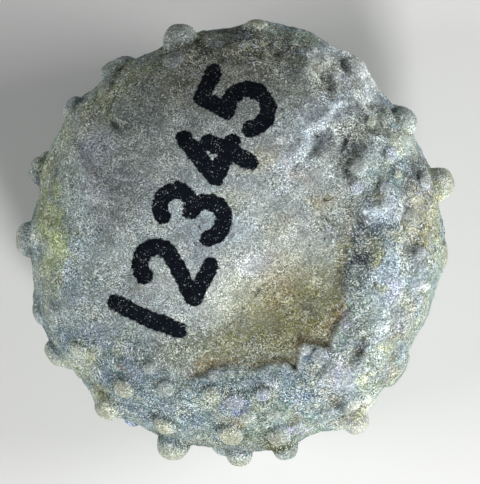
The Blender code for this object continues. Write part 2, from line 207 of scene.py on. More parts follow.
# %% Functions for the edge and the hollows
def edge_line(points, line):
    """Each point's distance from a line of corners seen from above, and the line's third value near it."""
    nearest = np.full(len(points), np.inf)
    pull, value = np.zeros(len(points)), np.zeros(len(points))
    for start, end in zip(line[:-1], line[1:]):
        a = np.array(start[:2]) * MM
        side = np.array(end[:2]) * MM - a
        share = np.clip((points[:, :2] - a) @ side / (side @ side), 0.0, 1.0)
        away = np.linalg.norm(points[:, :2] - a - share[:, None] * side, axis=1)
        nearest = np.minimum(nearest, away)
        weight = np.exp(-away / CORNER_REACH)
        pull += weight
        value += weight * (start[2] + share * (end[2] - start[2]))
    return nearest, value / np.maximum(pull, 1e-30)


def inside_loop(points, loop):
    """Which points lie inside this closed loop of corners, seen from above."""
    x, y = points[:, 0] / MM, points[:, 1] / MM
    inside = np.zeros(len(points), bool)
    for (x0, y0), (x1, y1) in zip(loop, loop[1:] + loop[:1]):
        crosses = (y0 > y) != (y1 > y)
        inside ^= crosses & (x < x0 + (x1 - x0) * (y - y0) / (y1 - y0 + 1e-12))
    return inside


def swell(points, size):
    """Smooth unevenness between about -1 and 1, with lumps of this size."""
    return np.array([noise.noise(Vector(p)) for p in points / size])


def oval(points, across, up, length, width, bearing):
    """1 at the middle of an oval seen from above, OVAL_EDGE at its edge and falling to nothing outside."""
    turn = np.radians(bearing)
    x, y = points[:, 0] / MM - across, points[:, 1] / MM - up
    along = (x * np.cos(turn) + y * np.sin(turn)) / (0.5 * length)
    aside = (y * np.cos(turn) - x * np.sin(turn)) / (0.5 * width)
    return OVAL_EDGE ** (along**2 + aside**2)


def filled_opening(points):
    """How far the upper side moves up or down for the sunken filling and the shell's raised edge. Also gives
    the depth of the bowl at each point as a share of its greatest, and how near the broken edge is: up to 1
    on the filling's side of it and down to -1 on the shell's."""
    away, share = edge_line(points, LEDGE)
    signed = np.where(inside_loop(points, OPENING), away, -away)
    signed += sum(stray * swell(points, size) for size, stray in LEDGE_RAGGED)
    width = LEDGE_WIDTH + LEDGE_SOFTENING * (1.0 - share)
    inside = smooth(0.5 + signed / width)
    lip = np.exp(-(((signed + LEDGE_LIP_PLACE) / LEDGE_LIP_WIDTH) ** 2))
    step = LEDGE_STEP * share * inside * (1.0 - smooth(signed / LEDGE_STEP_FADES))
    bowl = oval(points, *BOWL[:5]) * np.exp(np.minimum(signed, 0.0) / BOWL_SPILL)
    nearness = np.sign(signed) * share * np.exp(-np.abs(signed) / EDGE_REACH)
    top = points[:, 2] > 0
    moved = LEDGE_LIP * share * lip - step - BOWL[5] * MM * bowl
    return tuple(np.where(top, values, 0.0) for values in (moved, bowl, nearness))


def hollows(points):
    """How far the upper side sinks at the separate hollows."""
    sunk = sum(hollow[5] * MM * oval(points, *hollow[:5]) for hollow in HOLLOWS)
    return np.where(points[:, 2] > 0, sunk, 0.0)


def groove(points):
    """How far the underside rises in the groove round the lower filling."""
    turn = np.arctan2(points[:, 1], points[:, 0])
    edge = LOWER_EDGE + LOWER_EDGE_CORNERS * np.cos(5.0 * turn + LOWER_EDGE_TURN)
    away = (np.hypot(points[:, 0], points[:, 1]) - edge) / GROOVE_WIDTH
    return np.where(points[:, 2] < 0, GROOVE_DEPTH * np.exp(-(away**2)), 0.0)


# %% [markdown]
# ## The knobs
#
# Twenty columns of knobs run from the top of the shell to the bottom. Each knob is a rounded head on a
# short neck that flares into the shell. Separate balls would leave hard seams, so each knob is drawn out of
# the surface itself: the points near its spot slide along a profile that goes over the head, under it and
# out along the flare. The knobs at the rim and those that show above are placed one by one, because wear
# and rock have left them uneven. Underneath, a loop carries the columns on.

# %% Places and sizes of the knobs
# Bearing, height above the widest level, width, how far it stands out, tint: -1 is lilac blue and 1 is cream.
RIM_KNOBS = (
    (16.0, 0.4, 0.86, 0.45, 0.7), (36.0, 0.85, 0.82, 0.38, -0.2), (55.5, 1.0, 0.7, 0.16, 0.0),
    (85, 0.7, 0.68, 0.15, 0.7), (105.5, 0.9, 0.92, 0.45, 0.0), (126.3, 0.7, 0.6, 0.29, 0.1),
    (140.5, 0.6, 0.66, 0.24, -0.2), (160, 0.35, 0.74, 0.3, -0.1), (179.3, 0.3, 0.92, 0.32, 0.5),
    (199.8, 0.4, 0.62, 0.12, 0.1), (212, 0.4, 0.8, 0.26, 0.8), (232.3, 1.0, 0.8, 0.37, 0.8),
    (239.8, -0.25, 0.38, 0.16, -1.0), (252.8, 0.4, 0.86, 0.5, 0.7), (270.8, 0.45, 0.7, 0.35, 0.6),
    (283.5, 0.45, 0.66, 0.28, 0.1), (303.8, 0.9, 0.72, 0.47, 0.1), (321.5, 0.1, 1.0, 0.12, -0.2),
    (356.5, 0.5, 0.7, 0.08, 0.6),
)

# Knobs that show on the upper side: across, up, width, how far it stands out, tint.
UPPER_KNOBS = (
    (-1.77, -4.55, 0.62, 0.24, 0.7), (-2.78, -3.64, 0.58, 0.16, 0.7), (-2.17, -3.16, 0.34, 0.1, -0.4),
    (-1.77, -3.69, 0.48, 0.12, -0.2), (-0.13, -4.75, 0.66, 0.26, 0.9), (1.06, -4.72, 0.66, 0.26, 0.5),
    (-0.61, -3.82, 0.5, 0.09, 0.4), (-0.02, -3.96, 0.46, 0.1, -0.8), (0.66, -3.79, 0.38, 0.07, -0.8),
    (0.3, -4.33, 0.44, 0.1, 0.3), (1.52, -4.62, 0.5, 0.12, -0.7), (0.91, -4.29, 0.38, 0.08, 0.2),
    (3.84, 2.2, 0.4, 0.09, -0.7), (4.7, 1.52, 0.5, 0.13, -0.5), (3.74, 1.37, 0.36, 0.06, -0.8),
    (3.03, 1.38, 0.4, 0.09, -0.7), (3.05, 1.88, 0.5, 0.1, -0.4), (4.62, -0.3, 0.4, 0.08, -0.6),
    (4.58, -1.48, 0.36, 0.06, -0.5), (4.05, 1.7, 0.3, 0.05, 0.5), (3.3, 2.94, 0.3, 0.06, 0.5),
    (2.85, -4.05, 0.54, 0.06, 0.0), (1.62, -2.66, 0.26, 0.09, 1.0), (2.12, -2.9, 0.46, 0.06, -0.5),
    (3.95, -2.6, 0.54, 0.06, -0.1), (2.2, -4.35, 0.42, 0.08, 0.1), (-1.54, 4.55, 0.62, 0.1, -0.7),
    (-3.23, 3.79, 0.5, 0.1, -0.2), (-4.62, 1.7, 0.5, 0.06, -0.1), (-4.75, -0.15, 0.54, 0.06, 0.0),
    (-4.55, -1.75, 0.5, 0.06, 0.0), (-3.9, -2.7, 0.54, 0.08, 0.1), (-3.95, 2.9, 0.44, 0.05, 0.0),
    (4.42, 0.62, 0.5, 0.06, 0.4), (4.3, -2.1, 0.5, 0.06, 0.1),
)
HEAD_FULLNESS = 0.75  # under 1 makes a head fuller than a ball
HEAD_PART = 0.60  # the share of a knob's surface that forms its head, and the rest is its flared foot
MOST_UNDERCUT = 0.60  # of a head's height below its widest level
NECK_HEIGHT = 0.03 * MM
KNOB_FOOT = 1.7  # how wide a knob's flared foot is, as a share of the knob's own width

# Bearings of the columns, and for each row underneath its depth below the widest level, width and stand-out.
COLUMN_BEARINGS = (
    17.4, 35.5, 55, 70, 84, 105, 125, 140, 160, 178, 198.5, 212, 232, 252.5, 269.5, 283.5, 305, 321.5, 340,
    357,
)
LOWER_ROWS = ((0.88, 0.78, 0.26), (1.58, 0.70, 0.32), (2.10, 0.58, 0.25), (2.44, 0.44, 0.14))
WORN_COLUMNS = (55, 70, 84, 198.5, 321.5, 340, 357)  # their first knob underneath is worn low
WORN_SHARE = 0.4  # of that knob's stand-out which is left
ROW_WANDER = 2.0  # degrees that each row of a column is out of line, to one side and the other
ROW_STEP = 0.05  # how far each knob of a row is above or below its neighbours
SIZE_VARIETY = 0.10  # the share by which knobs of one row differ in size
TINT_VARIETY = 0.7  # how far the tints underneath go towards lilac blue and cream
print("knobs placed one by one:", len(RIM_KNOBS) + len(UPPER_KNOBS))


# %% Functions for the knobs
def raise_knob(points, spot, out, width, proud):
    """Draws the surface round this spot out into a knob. Gives the points it reaches, and how far out each of
    them is: 0 at the middle of the head and 1 at the edge of the flared foot."""
    head = 0.5 * width
    foot = max(proud - head, 0.0)
    dome = proud - foot
    turn_under = np.arccos(-min(max(foot - NECK_HEIGHT, 0.0) / dome, MOST_UNDERCUT))
    reach = head * KNOB_FOOT
    to = points - spot
    height = to @ out
    flat = to - height[:, None] * out
    away = np.linalg.norm(flat, axis=1)
    near = (away < reach) & (np.abs(height) < width + proud)
    share = away[near] / reach
    angle = np.minimum(share / HEAD_PART, 1.0) * turn_under
    flare = np.clip((share - HEAD_PART) / (1.0 - HEAD_PART), 0.0, 1.0)
    neck_radius = head * np.sin(turn_under) ** HEAD_FULLNESS
    neck_height = foot + dome * np.cos(turn_under)
    on_head = share < HEAD_PART
    on_flare = neck_radius + flare * (reach - neck_radius)
    new_away = np.where(on_head, head * np.sin(angle) ** HEAD_FULLNESS, on_flare)
    rise = np.where(on_head, foot + dome * np.cos(angle), neck_height * (1.0 - flare) ** 2)
    outward = flat[near] / np.maximum(away[near], 1e-12)[:, None]
    points[near] = spot + outward * new_away[:, None] + out * (height[near] + rise)[:, None]
    return near, share


def all_knobs():
    """Each knob's spot, the way out there, its width, how far it stands out and its tint. Underneath, sines
    give each knob its own size and tint."""
    for bearing, level, width, proud, tint in RIM_KNOBS:
        yield *spot_at_level(bearing, level * MM), width * MM, proud * MM, tint
    for across, up, width, proud, tint in UPPER_KNOBS:
        yield *spot_from_above(across * MM, up * MM), width * MM, proud * MM, tint
    for column, bearing in enumerate(COLUMN_BEARINGS):
        for row, (level, width, proud) in enumerate(LOWER_ROWS):
            side = 1.0 if (column + row) % 2 else -1.0
            scale = 1.0 + SIZE_VARIETY * np.sin(2.4 * column + 5.1 * row)
            left = WORN_SHARE if row == 0 and bearing in WORN_COLUMNS else 1.0
            spot, out = spot_at_level(bearing + side * ROW_WANDER, -(level + ROW_STEP * side) * MM)
            tint = TINT_VARIETY * np.sin(1.7 * column + 2.9 * row)
            yield spot, out, width * scale * MM, proud * scale * left * MM, tint


print("all knobs:", sum(1 for _ in all_knobs()))

# %% [markdown]
# ## Grain and granules
#
# Between the knobs the shell is rough, with swells, grain and tiny granules, and in some places it is broken
# into lumps. Noise of several sizes gives the swells, the grain and the lumps. The granules could be separate
# balls, but they are as firmly grown on as the knobs, so the surface's own points rise into small domes. A
# seeded generator scatters them, so that every run gives the same ones.

# %% Sizes of the unevenness
# The shell swells along each column of knobs, most at the widest level.
RIB_HEIGHT = 0.08 * MM
RIB_WIDTH = 5.5  # degrees from a column to where its swell has fallen to about a third
RIBS_START, RIBS_FULL = 3.2 * MM, 5.1 * MM  # distances from the axis

# Each kind of unevenness: sizes and heights of its swells.
SWELLS = ((1.6 * MM, 0.10 * MM), (0.75 * MM, 0.045 * MM))
GRAIN = ((0.40 * MM, 0.020 * MM), (0.20 * MM, 0.016 * MM), (0.11 * MM, 0.012 * MM))
# The grain is coarser here: across, up, length, width, bearing of the length, how much is added.
ROUGH_PLACES = (
    (2.60, 2.50, 3.4, 2.2, 40, 1.3), (3.60, -3.00, 3.2, 1.5, 60, 1.1), (0.40, -3.80, 4.2, 1.3, 0, 0.6),
    (0.50, 4.70, 5.0, 1.2, 0, 1.2), (-3.00, 3.70, 2.6, 1.0, 30, 1.0), (3.20, -0.40, 2.6, 0.9, 90, 0.8),
    (2.60, 4.00, 2.6, 1.2, 140, 1.1), (4.60, 0.60, 2.8, 0.9, 80, 0.9),
)
BROKEN_BELOW = 0.3  # the same for the whole underside
FILLING_SMOOTHER = 0.5  # the share of the grain that the filling lacks
LUMPS = ((0.85 * MM, 0.13 * MM), (0.45 * MM, 0.10 * MM), (0.24 * MM, 0.036 * MM))  # only in the rough places
LUMPS_FADE = 0.6  # where the way out of the surface is this steep, or less, the lumps fade towards the rim
GRAIN_PLACE, LUMPS_PLACE = 7.0, 9.0  # other parts of the noise, so that the grain doesn't follow the swells
GRANULES = 520
GRANULE_SEED = 11
GRANULE_WIDTHS = (0.12 * MM, 0.24 * MM)
GRANULE_HEIGHT = 0.15  # as a share of its width
LEAST_TAKEN = 0.15  # granules stand only where less than this belongs to a knob or the filling
print("finest grain and widest swell, mm:", GRAIN[-1][0] / MM, SWELLS[0][0] / MM)


# %% Functions for the unevenness
def ribs(points):
    """How far the shell swells out along its columns."""
    bearing = np.degrees(np.arctan2(points[:, 1], points[:, 0]))
    off = np.abs((bearing[:, None] - np.array(COLUMN_BEARINGS) + 180.0) % 360.0 - 180.0).min(axis=1)
    reach = smooth((np.hypot(points[:, 0], points[:, 1]) - RIBS_START) / (RIBS_FULL - RIBS_START))
    return RIB_HEIGHT * np.exp(-((off / RIB_WIDTH) ** 2)) * reach


def unevenness(points, out, filling):
    """How far the surface stands out for its swells, grain and lumps, and how broken it is there."""
    uneven = sum(height * swell(points, size) for size, height in SWELLS) + ribs(points)
    broken = sum(amount * oval(points, *where) for *where, amount in ROUGH_PLACES)
    broken = np.where(points[:, 2] > 0, broken, BROKEN_BELOW)
    rough = 1.0 - FILLING_SMOOTHER * filling + broken
    uneven += rough * sum(height * swell(points + GRAIN_PLACE, size) for size, height in GRAIN)
    facing = smooth(out[:, 2] / LUMPS_FADE)
    uneven += broken * facing * sum(height * swell(points + LUMPS_PLACE, size) for size, height in LUMPS)
    return uneven, broken


def scatter_granules(points, out, taken):
    """Raises small domes at random spots of the bare shell, and gives how much each point belongs to one."""
    chance = np.random.default_rng(GRANULE_SEED)
    free = np.flatnonzero(taken < LEAST_TAKEN)
    granule = np.zeros(len(points))
    for i in chance.choice(free, GRANULES, replace=False):
        width = chance.uniform(*GRANULE_WIDTHS)
        away = np.linalg.norm(points - points[i], axis=1) / (0.5 * width)
        near = away < 1.0
        dome = np.sqrt(1.0 - away[near] ** 2)
        points[near] += out[i] * (GRANULE_HEIGHT * width * dome * (1.0 - granule[near]))[:, None]
        granule[near] = np.maximum(granule[near], dome)
    return granule


# %% [markdown]
# ## The surface of the fossil
#
# A cube whose faces are divided into a grid and rounded into a ball has even squares all over, with none of
# the pinched poles of a globe made of rings. The functions above turn its points into the fossil. While
# they run they also note, for every point, how much it belongs to a knob, the filling, the sunken part, the
# broken edge or a granule. The material reads these notes later as attributes.

# %% Make the ball
BALL_DIVISIONS = 127
BALL_FLATTENING = 0.7


def ball_of_squares(name):
    cube = bmesh.new()
    bmesh.ops.create_cube(cube, size=2.0)
    bmesh.ops.subdivide_edges(cube, edges=cube.edges[:], cuts=BALL_DIVISIONS - 1, use_grid_fill=True)
    mesh = bpy.data.meshes.new(name)
    cube.to_mesh(mesh)
    cube.free()
    return mesh


def corners_of(mesh):
    flat = np.empty(len(mesh.vertices) * 3)
    mesh.vertices.foreach_get("co", flat)
    return flat.reshape(-1, 3)


def even_directions(cube_points):
    """Directions from the centre, spread evenly: equal steps of angle along each face of the cube."""
    spread = np.tan(cube_points * np.pi / 4.0) * np.array([1.0, 1.0, BALL_FLATTENING])
    return spread / np.linalg.norm(spread, axis=1)[:, None]


fossil_mesh = ball_of_squares("fossil_urchin_surface")
directions = even_directions(corners_of(fossil_mesh))
print("squares:", len(fossil_mesh.polygons))


# %% Where the surface is rock
# The rock reaches over the shell at the top and the left. These corners carry on from the jagged edge.
ROCK_COVER = (
    (3.2, 1.3), (3.3, 2.3), (3.1, 3.2), (2.2, 4.2), (-0.2, 4.7), (-2.4, 4.0), (-3.7, 2.6), (-4.0, 0.4),
    (-3.6, -1.4), (-2.5, -2.5),
)
ROCK_LOOP = [corner[:2] for corner in LEDGE] + list(ROCK_COVER)
ROCK_LINE = [corner + (0.0,) for corner in ROCK_LOOP + ROCK_LOOP[:1]]
ROCK_SPREAD_FULL = 0.6 * MM  # from the jagged edge to where the rock's edge is fully ragged and soft
# Size of the bends in the rock's edge, how far they stray, and another part of the noise for each.
ROCK_RAGGED = ((1.1 * MM, 0.55 * MM, 3.0), (0.4 * MM, 0.3 * MM, 5.0))
ROCK_EDGE_WIDTH = 0.08 * MM
ROCK_EDGE_SOFTENING = 0.70 * MM  # added to the width where the rock's edge is soft
LOWER_EDGE_WIDTH = 0.15 * MM


def rock_share(points):
    """How much of each point is rock and not shell: the fillings, and what still hides the shell."""
    away = edge_line(points, ROCK_LINE)[0]
    signed = np.where(inside_loop(points, ROCK_LOOP), away, -away)
    spread = smooth(edge_line(points, LEDGE)[0] / ROCK_SPREAD_FULL)
    signed += spread * sum(stray * swell(points + part, size) for size, stray, part in ROCK_RAGGED)
    upper = smooth(0.5 + 0.5 * signed / (ROCK_EDGE_WIDTH + ROCK_EDGE_SOFTENING * spread))
    inside = (LOWER_EDGE - np.hypot(points[:, 0], points[:, 1])) / LOWER_EDGE_WIDTH
    lower = np.where(points[:, 2] < 0, smooth(0.5 + inside), 0.0)
    return np.where(points[:, 2] > 0, upper, lower)


print("corners of the rock's edge:", len(ROCK_LOOP))

# %% Turn the ball into the fossil, and take notes for the material
# Places on a knob, from 0 at the middle of its head to 1 at the edge of its flared foot.
HEAD_ENDS = 0.62
FOOT_MIDDLE, FOOT_WIDTH = 0.72, 0.16
TINT_FULL = 0.3
BOSS_SIZE = 0.11  # the dimple on a wide knob's tip
BOSSED_WIDTH = 0.55 * MM  # narrower knobs have none


def raise_knobs(points):
    """Raises every knob, and notes what belongs to the heads, feet and tips, and each knob's tint."""
    head, foot, tint, boss = (np.zeros(len(points)) for _ in range(4))
    for spot, way_out, width, proud, knob_tint in all_knobs():
        near, share = raise_knob(points, spot, way_out, width, proud)
        head[near] = np.maximum(head[near], 1.0 - smooth(share / HEAD_ENDS))
        foot[near] = np.maximum(foot[near], np.exp(-(((share - FOOT_MIDDLE) / FOOT_WIDTH) ** 2)))
        tint[near] = knob_tint * (1.0 - smooth(share - TINT_FULL))
        boss[near] = np.exp(-((share / BOSS_SIZE) ** 2)) * (width > BOSSED_WIDTH)
    return {"head": head, "foot": foot, "tint": tint, "boss": boss}


def fossil_surface(directions):
    """The fossil's points, one for each direction from its centre, and the notes for the material."""
    points, out = body(directions)
    notes = {}
    moved, notes["sunken"], notes["ledge"] = filled_opening(points)
    moved = moved - hollows(points) + groove(points)
    notes["filling"] = rock_share(points)
    uneven, notes["broken"] = unevenness(points, out, notes["filling"])
    points = points + out * uneven[:, None]
    points[:, 2] += moved
    notes.update(raise_knobs(points))
    notes["granule"] = scatter_granules(points, out, notes["head"] + notes["foot"] + notes["filling"])
    points[:, 2] = np.maximum(points[:, 2], REST_LEVEL)
    return points, notes


points, notes = fossil_surface(directions)
print("size, mm:", (points.max(axis=0) - points.min(axis=0)) / MM)

# %% [markdown]
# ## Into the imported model's place
#
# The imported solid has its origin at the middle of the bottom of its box. The fine surface is moved to the
# same place and scaled a little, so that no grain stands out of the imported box.

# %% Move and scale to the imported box
low, high = (np.array(corner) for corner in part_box(NODE))
own_low, own_high = points.min(axis=0), points.max(axis=0)
SLIGHTLY_IN = 0.9995
fit = np.minimum((high - low) / (own_high - own_low), 1.0) * SLIGHTLY_IN
shift = np.array([*(0.5 * (low + high) - 0.5 * (own_low + own_high) * fit)[:2], low[2] - own_low[2] * fit[2]])
placed = points * fit + shift
fossil_mesh.vertices.foreach_set("co", placed.astype(np.float32).ravel())
fossil_mesh.update()
fossil_mesh.shade_smooth()
print("scale:", fit, "shift, mm:", shift / MM)

# %% [markdown]
# ## Inked figures
#
# Plain counting figures are written across the rock with a broad pen. Each figure is a few pen strokes in a
# box one unit high. A stroke is a line of points, and every point of the surface stores its distance to the
# nearest stroke. The material later inks what lies within half a pen's width, which gives an edge far finer
# than the mesh.

# %% Draw the figures as pen strokes
def arc(x, y, wide, high, start, end, steps=10):
    """Points along part of an oval, between two angles in degrees."""
    turns = np.radians(np.linspace(start, end, steps))
    return [(x + wide * np.cos(t), y + high * np.sin(t)) for t in turns]


FIGURES = {
    "1": [[(0.02, 0.98), (0.0, 0.5), (0.03, 0.0)]],
    "2": [arc(0.26, 0.74, 0.26, 0.24, 160, -30) + [(0.02, 0.03), (0.56, 0.0)]],
    "3": [arc(0.24, 0.75, 0.24, 0.23, 150, -80) + arc(0.24, 0.26, 0.28, 0.26, 85, -150)],
    "4": [[(0.34, 1.0), (0.0, 0.36), (0.58, 0.34)], [(0.44, 0.66), (0.42, 0.0)]],
    "5": [[(0.52, 0.98), (0.10, 0.98), (0.06, 0.56)] + arc(0.22, 0.30, 0.30, 0.30, 115, -150)],
}
# Figure, foot of its left side in mm across and up, height in mm.
WRITTEN = (
    ("1", -1.45, -2.25, 1.78), ("2", -1.02, -1.45, 1.70), ("3", -0.50, 0.00, 1.72),
    ("4", 0.05, 1.35, 1.74), ("5", 0.62, 2.78, 1.72),
)
WRITING_BEARING = 66.0
FIGURE_WIDTH = 0.98  # of a figure's breadth as a share of its height
PEN_WIDTH = 0.425
NO_LINE_NEAR = 9.0  # mm, the distance that stands for none


def pen_strokes():
    """The points of each stroke of the writing, in mm across and up."""
    turn = np.radians(WRITING_BEARING)
    along = np.array([np.cos(turn), np.sin(turn)])
    upward = np.array([-np.sin(turn), np.cos(turn)])
    for figure, across, up, height in WRITTEN:
        for stroke in FIGURES[figure]:
            flat = np.array(stroke) * height
            yield np.array([across, up]) + flat[:, :1] * FIGURE_WIDTH * along + flat[:, 1:] * upward


def line_distance(points, lines):
    """How far each point of the upper side lies from the nearest of these lines, in mm."""
    nearest = np.full(len(points), NO_LINE_NEAR)
    flat = points[:, :2] / MM
    for line in lines:
        for a, b in zip(line[:-1], line[1:]):
            side = b - a
            share = np.clip((flat - a) @ side / (side @ side + 1e-12), 0.0, 1.0)
            nearest = np.minimum(nearest, np.linalg.norm(flat - a - share[:, None] * side, axis=1))
    return np.where(points[:, 2] > 0, nearest, NO_LINE_NEAR)


notes["ink_distance"] = line_distance(points, pen_strokes())
print("nearest to a stroke, mm:", notes["ink_distance"].min())

# %% [markdown]
# ## Cracks
#
# A few hair cracks run through the filling. They are far narrower than the mesh's squares, so they are kept
# like the pen strokes: as lines, with every point's distance to the nearest one.

# %% Lines of the cracks
CRACKS = (
    ((-0.95, -2.72), (-0.81, -2.60), (-0.35, -2.17), (-0.05, -1.98), (0.10, -1.77), (0.42, -1.40),
     (0.66, -1.09)),
    ((0.10, -2.55), (0.36, -2.42), (0.66, -2.17), (0.90, -2.08), (1.16, -1.89), (1.36, -1.72)),
    ((2.00, 0.88), (2.14, 0.70), (2.22, 0.62), (2.36, 0.50)),
    ((2.30, -1.90), (2.42, -1.72), (2.62, -1.66), (2.70, -1.50)),
)
notes["crack_distance"] = line_distance(points, [np.array(crack) for crack in CRACKS])
print("cracks:", len(CRACKS))

# %% [markdown]
# ## Stains, two of them partly painted light
#
# Stains of lilac, olive, rust and pale blue lie over the stone, and each has its own place. Two pale ones on
# knobs at the lower rim are partly painted light. As ovals in the material they would need hundreds of nodes,
# so they are laid one over another at the mesh's points, and the material receives their mixed colour and how
# much it covers.

# %% Colours given as on a screen
def srgb(red, green, blue):
    """A colour given as on a screen, from 0 to 255, as the linear numbers that a shader uses."""
    share = np.array([red, green, blue]) / 255.0
    linear = np.where(share <= 0.04045, share / 12.92, ((share + 0.055) / 1.055) ** 2.4)
    return (*(float(v) for v in linear), 1.0)


print("a middle grey, as linear numbers:", srgb(128, 128, 128))
